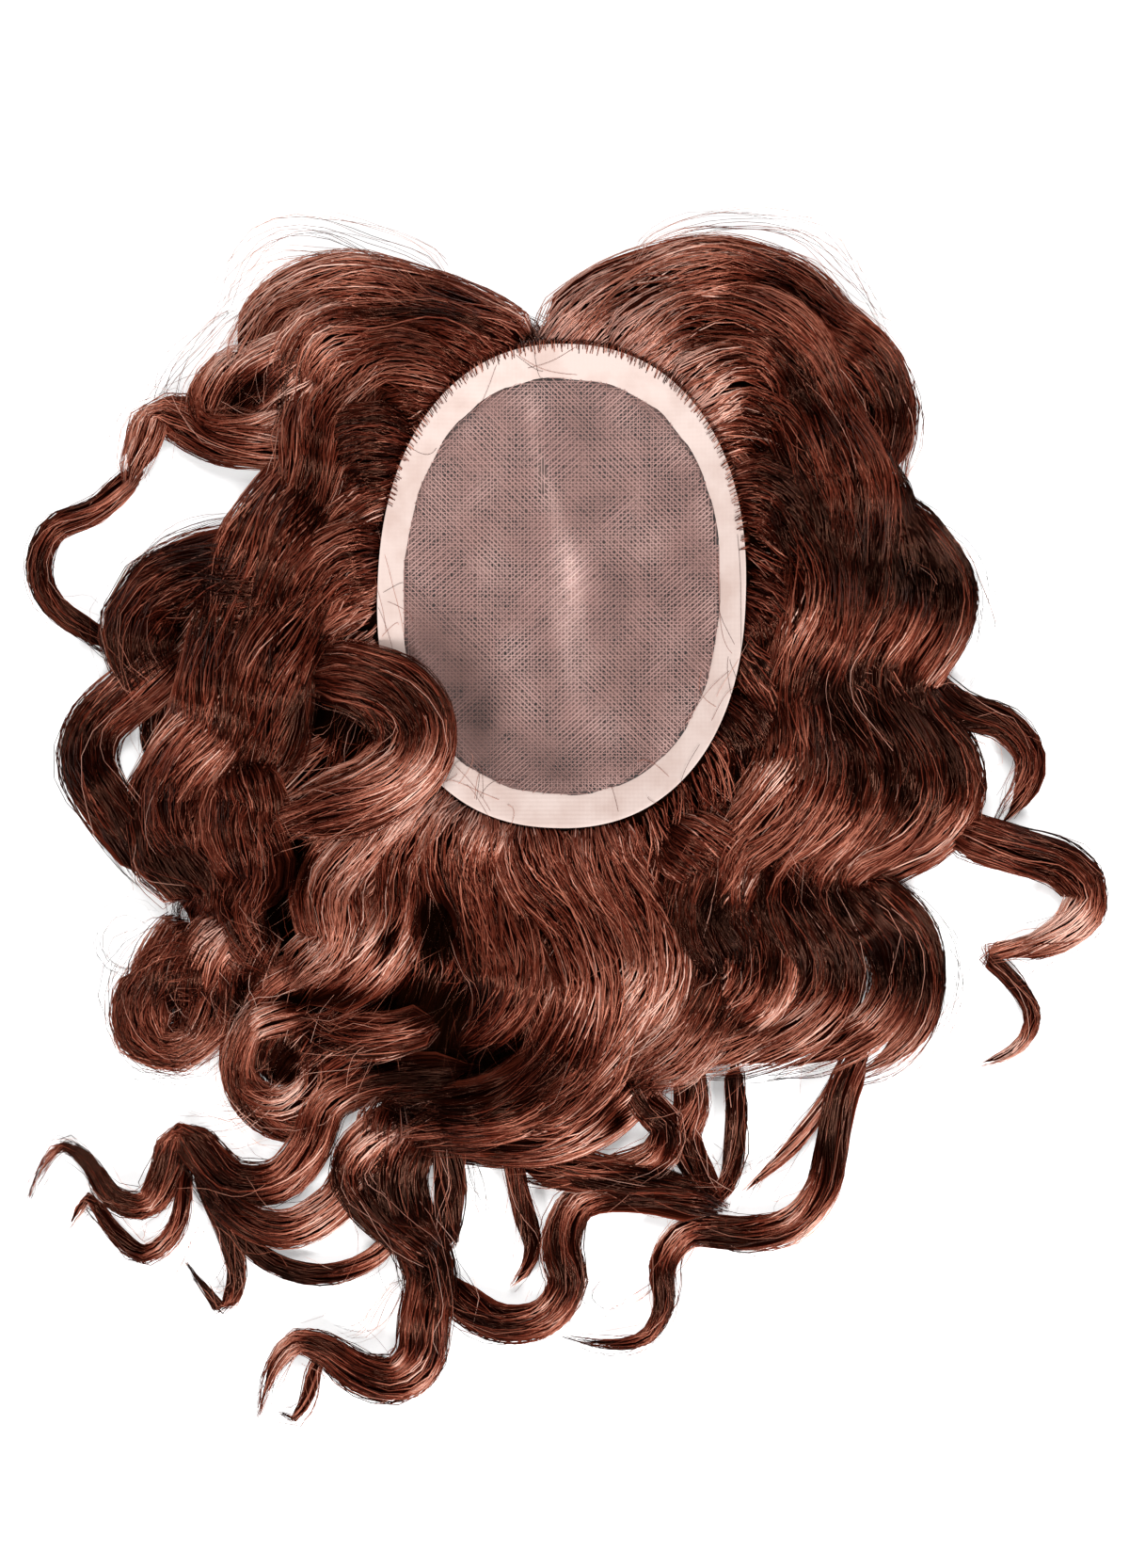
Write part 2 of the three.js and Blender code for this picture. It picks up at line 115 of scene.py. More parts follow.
LOCKS = (
    LockRow("front left crest", Region.FRONT_LEFT, 30, 17, 22, 13,
            ((-13, 87), (-50, 107), (-89, 115), (-111, 108), (-120, 95), (-128, 83))),
    LockRow("front left inner", Region.FRONT_LEFT, 30, 21, 22, 19,
            ((-23, 83), (-58, 99), (-88, 97), (-101, 82), (-106, 64), (-118, 55))),
    LockRow("front left temple", Region.FRONT_LEFT, 32, 26, 22, 20,
            ((-38, 74), (-70, 84), (-90, 68), (-95, 44), (-106, 14))),
    LockRow("front notch left", Region.FRONT_LEFT, 18, 16, 26, 8,
            ((-10, 78), (-14, 89), (-24, 96), (-42, 99))),
    LockRow("front notch right", Region.FRONT_LEFT, 18, 16, 26, 8,
            ((-12, 78), (-8, 90), (4, 97), (22, 101))),
    LockRow("front notch", Region.FRONT_LEFT, 14, 12, 25, 9, ((-11, 76), (-11, 86), (-12, 94), (-12, 102))),
    LockRow("temple inside", Region.FRONT_LEFT, 30, 20, 16, 10,
            ((-92, 88), (-112, 80), (-126, 72), (-136, 60))),
    LockRow("temple curl upper", Region.FRONT_LEFT, 14, 11, 18, 12,
            ((-98, 64), (-122, 60), (-139, 67), (-132, 83), (-118, 92))),
    LockRow("temple curl lower", Region.FRONT_LEFT, 19, 12, 15, 10,
            ((-100, 55), (-131, 57), (-148, 66), (-157, 68), (-161, 56), (-167, 39))),
    LockRow("front right crest", Region.FRONT_RIGHT, 30, 21, 22, 13,
            ((-8, 88), (20, 112), (57, 121), (88, 113), (103, 98), (119, 84), (126, 66), (122, 46),
             (121, 26)), fade=0.25),
    LockRow("front right inner", Region.FRONT_RIGHT, 32, 26, 22, 21,
            ((16, 84), (49, 104), (77, 99), (93, 84), (101, 64), (110, 44), (114, 20), (111, -6),
             (105, -26)), fade=0.3),
    LockRow("front right temple", Region.FRONT_RIGHT, 30, 26, 22, 22,
            ((41, 68), (70, 80), (87, 70), (95, 50), (103, 24)), fade=0.25),
    LockRow("outer left loop", Region.LEFT, 10, 9, 8, 6,
            ((-163, 48), (-179, 31), (-197, 23), (-202, 8), (-196, -6), (-181, -17), (-168, -27))),
    LockRow("left upper", Region.LEFT, 37, 30, 22, 20,
            ((-52, 50), (-82, 50), (-104, 28), (-119, 2), (-127, -26), (-135, -56), (-147, -84),
             (-142, -108)), fade=-0.14),
    LockRow("left middle", Region.LEFT, 35, 30, 22, 22,
            ((-61, 14), (-90, 4), (-106, -24), (-114, -58), (-122, -88), (-116, -112), (-126, -134)),
            fade=-0.14),
    LockRow("left root", Region.LEFT, 24, 20, 21, 18, ((-57, 36), (-78, 30), (-97, 12), (-109, -12))),
    LockRow("left root, lower", Region.LEFT, 20, 18, 21, 18, ((-62, -4), (-82, -12), (-98, -32))),
    LockRow("left lobe", Region.LEFT, 35, 23, 17, 12,
            ((-108, 10), (-144, 3), (-160, -8), (-162, -24), (-152, -42))),
    LockRow("left outer", Region.LEFT, 23, 16, 12, 9,
            ((-146, -24), (-165, -40), (-180, -53), (-183, -67), (-175, -84), (-166, -100), (-156, -116))),
    LockRow("left lower", Region.LEFT, 32, 23, 20, 14,
            ((-130, -46), (-148, -72), (-157, -92), (-146, -106), (-137, -118), (-143, -136)), light=0.02),
    LockRow("left lower inner", Region.LEFT, 28, 23, 22, 16,
            ((-122, -66), (-117, -90), (-128, -108), (-126, -130), (-112, -148)), light=0.08),
    LockRow("left inside", Region.LEFT, 13, 11, 7, 4, ((-138, -24), (-152, -38), (-157, -53), (-153, -72))),
    LockRow("ball curl", Region.LEFT, 26, 20, 15, 13,
            ((-124, -126), (-136, -142), (-138, -160), (-143, -174), (-154, -176), (-162, -166),
             (-160, -151), (-149, -145)), light=0.14),
    LockRow("ball middle", Region.LEFT, 36, 32, 10, 7, ((-136, -134), (-148, -150), (-152, -166))),
    LockRow("ball feed", Region.LEFT, 22, 16, 14, 12,
            ((-114, -126), (-124, -142), (-128, -156), (-122, -168))),
    LockRow("ring middle", Region.LEFT, 26, 20, 6, 3, ((-96, -170), (-107, -181), (-113, -192))),
    LockRow("ball root", Region.LEFT, 18, 14, 8, 6,
            ((-98, -148), (-110, -153), (-120, -160), (-127, -172))),
    LockRow("ring right", Region.LEFT, 18, 13, 8, 5, ((-70, -172), (-82, -179), (-91, -187), (-95, -197))),
    LockRow("over the band, outer", Region.LEFT, 17, 16, 28, 40,
            ((-92, -27), (-76, -29), (-59, -35), (-48, -49), (-48, -65), (-60, -79), (-82, -89),
             (-110, -92)), Layer.OVER, light=0.2),
    LockRow("over the band, middle", Region.LEFT, 17, 16, 30, 41,
            ((-96, -35), (-80, -36), (-64, -42), (-55, -54), (-58, -67), (-72, -78), (-94, -86),
             (-120, -94)), Layer.OVER, light=0.16),
    LockRow("over the band, inner", Region.LEFT, 13, 12, 26, 34,
            ((-98, -40), (-82, -43), (-70, -50), (-66, -60), (-74, -70), (-90, -78), (-106, -88)),
            Layer.OVER, light=0.08),
    LockRow("ring curl", Region.BACK, 13, 11, 14, 10,
            ((-96, -164), (-120, -170), (-124, -188), (-111, -198), (-97, -191), (-96, -176)), light=-0.14),
    LockRow("ring outer", Region.BACK, 15, 12, 11, 8,
            ((-118, -158), (-124, -172), (-125, -187), (-117, -201), (-104, -207), (-92, -201)),
            light=-0.14),
    LockRow("back left", Region.BACK, 30, 26, 22, 22,
            ((-52, -67), (-78, -95), (-89, -116), (-87, -136), (-104, -154)), light=-0.2),
    LockRow("back left inner", Region.BACK, 26, 23, 22, 20,
            ((-38, -76), (-60, -105), (-63, -126), (-76, -146), (-102, -162)), light=-0.16),
    LockRow("back middle left", Region.BACK, 35, 16, 22, 22,
            ((-32, -80), (-38, -104), (-29, -130), (-22, -150), (-28, -167), (-42, -178)), fade=0.3),
    LockRow("ring feed", Region.BACK, 18, 14, 14, 13,
            ((-48, -166), (-68, -172), (-84, -173), (-102, -169))),
    LockRow("back middle", Region.BACK, 32, 23, 22, 20,
            ((-12, -83), (-10, -108), (5, -132), (12, -152), (5, -173), (-8, -191), (-38, -201),
             (-70, -196)), fade=0.34),
    LockRow("back middle right", Region.BACK, 30, 19, 22, 17,
            ((10, -82), (16, -104), (31, -126), (36, -146), (27, -166), (16, -188), (-4, -205), (-38, -209),
             (-66, -212)), fade=0.34),
    LockRow("back right", Region.BACK, 30, 23, 22, 17,
            ((38, -90), (68, -114), (77, -135), (73, -155), (54, -170), (34, -188)), light=-0.28),
    LockRow("back sweep", Region.ENDS, 18, 12, 15, 9,
            ((44, -160), (30, -190), (9, -209), (-20, -214), (-52, -213), (-76, -223), (-88, -238),
             (-105, -247), (-122, -243), (-138, -228), (-147, -209))),
    LockRow("back left hook", Region.ENDS, 17, 4, 12, 8,
            ((-28, -184), (-50, -186), (-72, -190), (-90, -198), (-97, -215), (-110, -229), (-127, -229),
             (-140, -216), (-147, -209), (-152, -225), (-160, -238), (-173, -235), (-183, -221),
             (-193, -215), (-200, -223), (-206, -236))),
    LockRow("hook under curl", Region.ENDS, 7, 4, 7, 5,
            ((-144, -222), (-150, -248), (-162, -257), (-173, -248), (-183, -235), (-191, -247))),
    LockRow("lower left arc", Region.ENDS, 8, 7, 8, 6,
            ((-58, -238), (-72, -257), (-92, -265), (-110, -261), (-125, -250), (-140, -232))),
    LockRow("teardrop loop", Region.ENDS, 8, 2, 7, 5,
            ((-140, -222), (-134, -238), (-128, -253), (-126, -266), (-131, -278), (-137, -271),
             (-145, -260))),
    LockRow("tail feed", Region.ENDS, 20, 18, 14, 10,
            ((-66, -196), (-69, -215), (-65, -236), (-55, -252), (-50, -268), (-54, -286))),
    LockRow("long tail", Region.ENDS, 20, 5, 14, 10,
            ((-54, -204), (-62, -226), (-58, -246), (-51, -262), (-53, -282), (-55, -297), (-64, -305),
             (-78, -302), (-91, -293), (-102, -290), (-111, -300), (-117, -320))),
    LockRow("low middle", Region.LEFT, 16, 14, 7, 4, ((-46, -194), (-58, -199), (-70, -207))),
    LockRow("low twist", Region.ENDS, 20, 18, 13, 13,
            ((-60, -203), (-74, -213), (-80, -225), (-71, -239), (-47, -257)), light=0.04),
    LockRow("tail hook", Region.ENDS, 5, 2, 7, 4,
            ((-88, -288), (-95, -300), (-98, -312), (-104, -321), (-110, -318))),
    LockRow("low cross", Region.ENDS, 15, 14, 14, 9,
            ((-62, -206), (-20, -214), (10, -224), (40, -232), (64, -240))),
    LockRow("low hook", Region.ENDS, 15, 16, 10, 8,
            ((62, -241), (32, -234), (7, -237), (0, -252), (2, -268), (-7, -281), (-23, -283), (-38, -274),
             (-52, -256))),
    LockRow("low fall left", Region.ENDS, 12, 12, 12, 8, ((-44, -208), (-43, -234), (-48, -258))),
    LockRow("low fall right", Region.ENDS, 8, 4, 9, 6,
            ((-22, -210), (-18, -226), (-15, -240), (-11, -254), (-14, -264), (-20, -270))),
    LockRow("right low wave", Region.ENDS, 14, 12, 14, 8,
            ((26, -182), (33, -198), (41, -208), (37, -219), (21, -225), (0, -225), (-22, -220))),
    LockRow("right low fall", Region.ENDS, 14, 10, 13, 7,
            ((46, -178), (50, -198), (47, -211), (53, -224), (62, -237))),
    LockRow("right tail", Region.ENDS, 13, 4, 13, 7,
            ((120, -172), (110, -190), (105, -212), (101, -231), (89, -245), (70, -249), (49, -248),
             (39, -260), (39, -277), (32, -289), (17, -291), (0, -288))),
    LockRow("right fall", Region.ENDS, 8, 6, 10, 6, ((66, -182), (67, -210), (64, -230), (54, -241))),
    LockRow("right wisp", Region.ENDS, 6, 2, 10, 6, ((108, -186), (98, -203), (86, -219), (70, -233))),
    LockRow("right upper", Region.RIGHT, 32, 26, 22, 23,
            ((58, 36), (82, 33), (95, 14), (97, -10), (92, -30), (88, -50), (90, -68), (80, -88),
             (64, -105), (58, -126), (66, -146), (60, -166)), light=0.14, fade=0.26),
    LockRow("right middle", Region.RIGHT, 30, 26, 22, 20,
            ((62, 0), (81, -12), (86, -36), (87, -60), (79, -85), (62, -106), (56, -130), (62, -152),
             (48, -174), (22, -190)), light=0.14, fade=0.2),
    LockRow("right root", Region.RIGHT, 22, 18, 21, 18, ((51, 54), (74, 58), (88, 42), (96, 18)), light=0.2),
    LockRow("right root, lower", Region.RIGHT, 22, 18, 21, 18, ((60, -20), (76, -36), (79, -60), (70, -84)),
            light=-0.06),
    LockRow("right lower", Region.RIGHT, 28, 23, 22, 18,
            ((56, -40), (72, -62), (70, -84), (58, -104), (52, -124), (56, -144), (44, -168), (18, -186)),
            light=0.1),
    LockRow("right wave inner", Region.RIGHT, 21, 17, 22, 20,
            ((90, 52), (100, 32), (106, 12), (106, -4), (101, -18), (97, -31), (99, -45), (106, -58),
             (110, -71), (107, -85), (97, -98), (86, -107), (82, -118), (87, -131), (92, -144), (88, -158),
             (75, -170), (57, -179), (34, -187))),
    LockRow("right wave middle", Region.RIGHT, 21, 17, 21, 18,
            ((104, 58), (113, 36), (119, 14), (119, -4), (113, -18), (107, -30), (109, -43), (117, -55),
             (123, -69), (121, -84), (111, -97), (99, -107), (95, -117), (101, -130), (108, -143),
             (107, -157), (95, -169), (72, -179), (46, -186))),
    LockRow("right wave outer", Region.RIGHT, 21, 16, 19, 15,
            ((116, 56), (123, 36), (130, 14), (132, -3), (127, -16), (120, -28), (121, -41), (129, -53),
             (136, -67), (136, -82), (127, -96), (112, -106), (107, -115), (115, -126), (125, -138),
             (128, -152), (120, -167), (101, -179), (78, -187))),
    LockRow("right wave edge", Region.RIGHT, 21, 15, 14, 11,
            ((121, 38), (138, 18), (148, 3), (148, -12), (140, -26), (134, -38), (140, -50), (150, -63),
             (152, -80), (143, -94), (125, -105), (115, -112), (124, -120), (136, -133), (140, -150),
             (136, -168), (123, -182), (104, -192))),
    LockRow("right inside", Region.RIGHT, 22, 16, 12, 8, ((112, 34), (130, 18), (137, 0), (131, -22))),
    LockRow("outer right loop", Region.RIGHT, 15, 11, 12, 8,
            ((122, 34), (146, 13), (153, -3), (147, -19), (139, -34), (151, -45), (171, -52), (181, -65),
             (178, -80), (166, -95)), light=0.14),
    LockRow("outer right hook", Region.RIGHT, 19, 8, 11, 8,
            ((148, -93), (174, -101), (194, -107), (203, -118), (197, -129), (182, -138), (165, -141)),
            light=0.12),
    LockRow("outer right tip", Region.RIGHT, 7, 4, 8, 5,
            ((186, -135), (174, -139), (164, -141), (170, -147), (178, -156), (182, -165), (177, -176),
             (160, -184)), light=0.16),
)

# Thin ends with a few hairs each, too thin to have a body of their own.
WISPS = (
    LockRow("left tail", Region.LEFT, 4, 3, 7, 5,
            ((-132, -176), (-145, -186), (-160, -187), (-171, -181), (-176, -173))),
    LockRow("small loop", Region.LEFT, 7, 6, 8, 6,
            ((-156, -150), (-174, -146), (-178, -134), (-170, -125), (-156, -128))),
    LockRow("ball tangle", Region.LEFT, 30, 26, 17, 17,
            ((-136, -140), (-154, -146), (-160, -160), (-152, -174), (-138, -174), (-133, -158),
             (-144, -148))),
    LockRow("ball tangle, outer", Region.LEFT, 24, 20, 19, 18,
            ((-128, -146), (-144, -136), (-162, -146), (-166, -164), (-152, -180), (-134, -172),
             (-132, -156), (-148, -150), (-158, -162))),
    LockRow("front left wisp", Region.FRONT_LEFT, 26, 14, 18, 14,
            ((-44, 112), (-70, 126), (-92, 132), (-112, 126), (-127, 110), (-136, 92))),
    LockRow("front right wisp", Region.FRONT_RIGHT, 26, 14, 18, 14,
            ((28, 118), (58, 132), (88, 131), (108, 117), (122, 102), (134, 84))),
    LockRow("temple wisp", Region.FRONT_LEFT, 14, 10, 14, 10,
            ((-122, 104), (-138, 92), (-152, 80), (-164, 62))),
    LockRow("left lobe wisp", Region.LEFT, 12, 10, 14, 9,
            ((-118, 24), (-140, 22), (-158, 14), (-170, -4), (-168, -28))),
    LockRow("right lobe wisp", Region.RIGHT, 12, 9, 14, 9,
            ((126, 40), (138, 28), (152, 16), (161, -2), (158, -22), (150, -38))),
    LockRow("right bulge wisp", Region.RIGHT, 12, 9, 12, 8,
            ((120, -114), (138, -124), (151, -142), (152, -162), (141, -180), (118, -194))),
    LockRow("back left veil", Region.BACK, 16, 12, 10, 6,
            ((-92, -182), (-112, -200), (-128, -206), (-146, -202))),
    LockRow("hook loop", Region.ENDS, 5, 3, 6, 5,
            ((36, -268), (26, -275), (16, -280), (9, -274), (14, -267), (25, -270))),
    LockRow("tail veil", Region.ENDS, 9, 5, 8, 5, ((-60, -268), (-70, -277), (-78, -284), (-88, -287))),
    LockRow("low wisp", Region.ENDS, 6, 3, 7, 5, ((-38, -216), (-33, -228), (-28, -239), (-21, -249))),
    LockRow("arc wisp", Region.ENDS, 4, 3, 6, 5, ((-138, -246), (-148, -258), (-156, -262), (-164, -259))),
)


@dataclass(frozen=True)
class Hollow:
    """A place where the hair parts or dips, and painted shade darkens it.

    Attributes:
        x: to the right.
        y: to the front.
        wide: half its width.
        long: half its length.
        lean: turn of its length from Y, in degrees towards -X.
        dark: how dark the painted shade is, up to 1; in the hair it also sinks and thins the strands.
        soft: width of its edge, as a share of its size.
    """

    x: float
    y: float
    wide: float
    long: float
    lean: float
    dark: float
    soft: float = 0.45

    def at(self, x: np.ndarray, y: np.ndarray) -> np.ndarray:
        """Darkness at points, full in the middle and gone beyond its soft edge."""
        turn = math.radians(self.lean)
        across = ((x - self.x) * math.cos(turn) + (y - self.y) * math.sin(turn)) / self.wide
        ahead = ((y - self.y) * math.cos(turn) - (x - self.x) * math.sin(turn)) / self.long
        return self.dark * smooth(1.0 + self.soft, 1.0 - self.soft, np.hypot(across, ahead))


# Hollows in the hair: painted shade darkens the strands there, and the strands also sink and thin.
HOLLOWS = (
    Hollow(-102, -106, 6, 12, -8, 1.0, 0.2),
    Hollow(-110, -127, 5, 10, -14, 1.0, 0.2),
    Hollow(-48, -131, 9, 14, 6, 1.0, 0.15),
    Hollow(-66, -135, 3.5, 6, -20, 1.0, 0.2),
    Hollow(-84, -158, 28, 5, 0, 1.0, 0.3),
    Hollow(-50, -160, 24, 12, 0, 0.9),
    Hollow(-48, -178, 18, 10, 0, 0.9),
    Hollow(-124, -155, 3, 5, -20, 1.0, 0.2),
    Hollow(-66, -166, 44, 20, 0, 0.6, 0.8),
    Hollow(-26, -187, 36, 16, 0, 0.8, 0.55),
    Hollow(-20, -191, 30, 10, 4, 0.8),
    Hollow(8, -199, 14, 8, -20, 0.55),
    Hollow(-2, -194, 24, 9, 0, 0.65, 0.5),
    Hollow(73, -150, 9, 12, 0, 0.3),
    Hollow(20, -203, 5, 7, 0, 1.0, 0.3),
    Hollow(-107, -183, 6, 9, 0, 1.0, 0.2),
    Hollow(-70, -184, 9, 2.5, 0, 0.9, 0.3),
    Hollow(-54, -226, 14, 12, 0, 0.5),
    Hollow(-47, -262, 8, 10, 0, 0.6),
    Hollow(30, -226, 24, 3, 8, 0.5),
    Hollow(-88, -48, 16, 10, 0, 0.8),
    Hollow(-74, -62, 9, 7, 0, 0.8),
    Hollow(-121, 76, 12, 8, 20, 0.8),
    Hollow(-92, 46, 9, 22, -10, 0.35),
    Hollow(-146, -108, 12, 9, 0, 0.5),
    Hollow(-168, 12, 10, 8, 0, 0.4),
    Hollow(104, -44, 5, 15, 32, 0.75),
    Hollow(119, -46, 4, 10, 35, 0.7),
    Hollow(128, -74, 5, 13, 12, 0.7),
    Hollow(113, -76, 4, 10, 10, 0.55),
    Hollow(91, -116, 5, 9, 20, 0.8),
    Hollow(106, -120, 5, 8, 40, 0.7),
    Hollow(57, -121, 5, 9, 10, 0.65),
    Hollow(130, -145, 11, 5, -10, 0.75),
    Hollow(80, -148, 6, 10, 10, 0.55),
    Hollow(66, -166, 17, 4, -8, 0.65),
    Hollow(112, -172, 8, 4, -25, 0.5),
    Hollow(119, 8, 4, 14, 0, 0.35),
    Hollow(89, 78, 5, 18, 29, 0.5, 0.7),
    Hollow(85, 38, 6, 20, 4, 0.4, 0.7),
    Hollow(138, 4, 8, 8, 0, 0.75),
    Hollow(-58, -202, 9, 4, 0, 0.8),
    Hollow(70, -192, 24, 4, 6, 0.5),
)


# Where the net lies in the shade.
NET_SHADES = (
    Hollow(-42, -38, 15, 30, 20, 0.75, 0.8),
    Hollow(-18, -70, 26, 14, 0, 0.5, 0.8),
    Hollow(22, -6, 18, 14, 0, 0.22, 0.8),
    Hollow(8, 46, 14, 24, 0, 0.2, 0.8),
)


def smooth(low: float, high: float, x: np.ndarray) -> np.ndarray:
    """A smooth step.

    Args:
        low: where it leaves 0.
        high: where it reaches 1.
        x: values to read it at.

    Returns:
        The step at each value.
    """
    t = np.clip((x - low) / (high - low), 0.0, 1.0)
    return t * t * (3.0 - 2.0 * t)


def mix(start: Any, end: Any, share: Any) -> Any:
    """Goes from start to end by a share of the way."""
    return start + (end - start) * share


def linear(code: str) -> tuple[float, float, float, float]:
    """An sRGB hex colour as linear light.

    Args:
        code: six hex digits after a hash.

    Returns:
        Red, green, blue and an alpha of one.
    """
    parts = np.array([int(code[i:i + 2], 16) for i in (1, 3, 5)]) / 255.0
    light = np.where(parts <= 0.04045, parts / 12.92, ((parts + 0.055) / 1.055) ** 2.4)
    return (*light.tolist(), 1.0)


def connect(tree: bpy.types.NodeTree, node: bpy.types.Node, inputs: Mapping[str | int, Any]) -> None:
    """Sets inputs of a node.

    Args:
        tree: the material's nodes.
        node: the node.
        inputs: a value or a socket to link from, for each input.
    """
    for key, value in inputs.items():
        if isinstance(value, bpy.types.NodeSocket):
            tree.links.new(value, node.inputs[key])
        else:
            node.inputs[key].default_value = value


def add_node(
    tree: bpy.types.NodeTree,
    kind: str,
    inputs: Mapping[str | int, Any] | None = None,
    stops: Sequence[tuple[float, str]] = (),
    **settings: Any,
) -> bpy.types.Node:
    """Adds a shader node with its settings and links.

    Args:
        tree: the material's nodes.
        kind: the node's type.
        inputs: a value or a socket to link from, for each input.
        stops: place and colour of each stop of a colour ramp.
        settings: attributes of the node.

    Returns:
        The node.
    """
    node = tree.nodes.new(kind)
    for name, value in settings.items():
        setattr(node, name, value)
    connect(tree, node, inputs or {})
    for i, (place, colour) in enumerate(stops):
        ramp = node.color_ramp.elements
        stop = ramp[i] if i < len(ramp) else ramp.new(place)
        stop.position = place
        stop.color = linear(colour)
    return node


@dataclass(frozen=True)
class Finish:
    """What a piece is made of.

    Attributes:
        name: the material's name.
        roughness: from mirror to matt.
    """

    name: str
    roughness: float

    def start(self) -> tuple[bpy.types.Material, bpy.types.NodeTree, bpy.types.Node]:
        """Makes the material with its roughness set.

        Returns:
            The material, its nodes and its shader.
        """
        material = bpy.data.materials.new(self.name)
        material.use_nodes = True
        shader = material.node_tree.nodes["Principled BSDF"]
        shader.inputs["Roughness"].default_value = self.roughness
        return material, material.node_tree, shader

    def material(self) -> bpy.types.Material:
        """Builds the material."""
        raise NotImplementedError


@dataclass(frozen=True)
class StrandHair(Finish):
    """Single auburn hairs: each has its own tint, darkened at the root by painted shade, with soft bands of
    light along it.

    Attributes:
        tints: colours from the darkest hair to the lightest.
        root: painted shade that multiplies the root, near the base.
        band: how often the tone changes along a hair, and from hair to hair.
        swing: how much the bands change the tone.
        root_end: share of the length over which the root's shade fades.
        ior: of the horn that hair is made of.
        shine: colour of its highlights.
    """

    name: str = "auburn hair"
    roughness: float = 0.25
    tints: tuple[str, ...] = ("#040000", "#260703", "#61281b", "#a36450", "#deb4a4")
    root: str = "#c4b8b8"
    band: tuple[float, float] = (5.0, 60.0)
    swing: float = 0.4
    root_end: float = 0.2
    ior: float = 1.58
    shine: str = "#f2a284"

    def material(self) -> bpy.types.Material:
        """The map's rows are tints, and its columns run from root to tip.

        Returns:
            The material.
        """
        material, tree, shader = self.start()
        place = add_node(tree, "ShaderNodeUVMap", uv_map=BAKE_MAP)
        split = add_node(tree, "ShaderNodeSeparateXYZ", {"Vector": place.outputs["UV"]})
        scale = (*self.band, 1.0)
        stretch = add_node(tree, "ShaderNodeMapping", {"Vector": place.outputs["UV"], "Scale": scale})
        bands = add_node(tree, "ShaderNodeTexNoise", {"Vector": stretch.outputs["Vector"], "Scale": 1.0})
        change = add_node(tree, "ShaderNodeMath", {0: bands.outputs["Fac"], 1: 0.5}, operation="SUBTRACT")
        tone = add_node(
            tree, "ShaderNodeMath", {0: change.outputs[0], 1: self.swing, 2: split.outputs["Y"]},
            operation="MULTIPLY_ADD",
        )
        steps = [(i / (len(self.tints) - 1), tint) for i, tint in enumerate(self.tints)]
        colour = add_node(tree, "ShaderNodeValToRGB", {"Fac": tone.outputs[0]}, stops=steps)
        shade = add_node(
            tree, "ShaderNodeValToRGB", {"Fac": split.outputs["X"]},
            stops=[(0.0, self.root), (self.root_end, "#ffffff")],
        )
        both = add_node(
            tree, "ShaderNodeMix", {0: 1.0, 6: colour.outputs["Color"], 7: shade.outputs["Color"]},
            data_type="RGBA", blend_type="MULTIPLY",
        )
        look = {"Base Color": both.outputs[2], "IOR": self.ior, "Specular Tint": linear(self.shine)}
        connect(tree, shader, look)
        return material


@dataclass(frozen=True)
class ShadedDenseHair(Finish):
    """Hair packed inside a lock, in painted shade: dark streaks that run the lock's way, seen between the
    single hairs.

    Attributes:
        streaks: colours from the gaps to the hairs on top.
        stops: values of the noise at the first and last of them.
        across: streaks around a lock, and changes along it.
        depth: height of the streaks in metres.
        rim: how much lighter a lock's two edges are, where the light comes through.
        rim_power: how narrow those edges are.
    """

    name: str = "shaded dense auburn hair"
    roughness: float = 0.6
    streaks: tuple[str, ...] = ("#040000", "#0e0201", "#1e0703", "#36130b", "#6e3020")
    stops: tuple[float, float] = (0.3, 0.86)
    across: tuple[float, float] = (70.0, 3.0)
    depth: float = 0.0006
    rim: float = 0.0
    rim_power: float = 6.0

    def material(self) -> bpy.types.Material:
        """The map's columns go around the lock, and its rows along it.

        Returns:
            The material.
        """
        material, tree, shader = self.start()
        place = add_node(tree, "ShaderNodeUVMap", uv_map=BAKE_MAP)
        scale = (*self.across, 1.0)
        stretch = add_node(tree, "ShaderNodeMapping", {"Vector": place.outputs["UV"], "Scale": scale})
        noise = add_node(
            tree, "ShaderNodeTexNoise", {"Vector": stretch.outputs["Vector"], "Scale": 1.0, "Detail": 3.0}
        )
        places = np.linspace(*self.stops, len(self.streaks)).tolist()
        split = add_node(tree, "ShaderNodeSeparateXYZ", {"Vector": place.outputs["UV"]})
        round_about = {0: split.outputs["X"], 1: TURN}
        turn = add_node(tree, "ShaderNodeMath", round_about, operation="MULTIPLY")
        side = add_node(tree, "ShaderNodeMath", {0: turn.outputs[0]}, operation="COSINE")
        edge = add_node(tree, "ShaderNodeMath", {0: side.outputs[0], 1: self.rim_power}, operation="POWER")
        tone = add_node(
            tree, "ShaderNodeMath", {0: edge.outputs[0], 1: self.rim, 2: noise.outputs["Fac"]},
            operation="MULTIPLY_ADD",
        )
        steps = list(zip(places, self.streaks))
        colour = add_node(tree, "ShaderNodeValToRGB", {"Fac": tone.outputs[0]}, stops=steps)
        bump = add_node(tree, "ShaderNodeBump", {"Height": noise.outputs["Fac"], "Distance": self.depth})
        connect(tree, shader, {"Base Color": colour.outputs["Color"], "Normal": bump.outputs["Normal"]})
        connect(tree, shader, {"Specular IOR Level": 0.0})
        return material


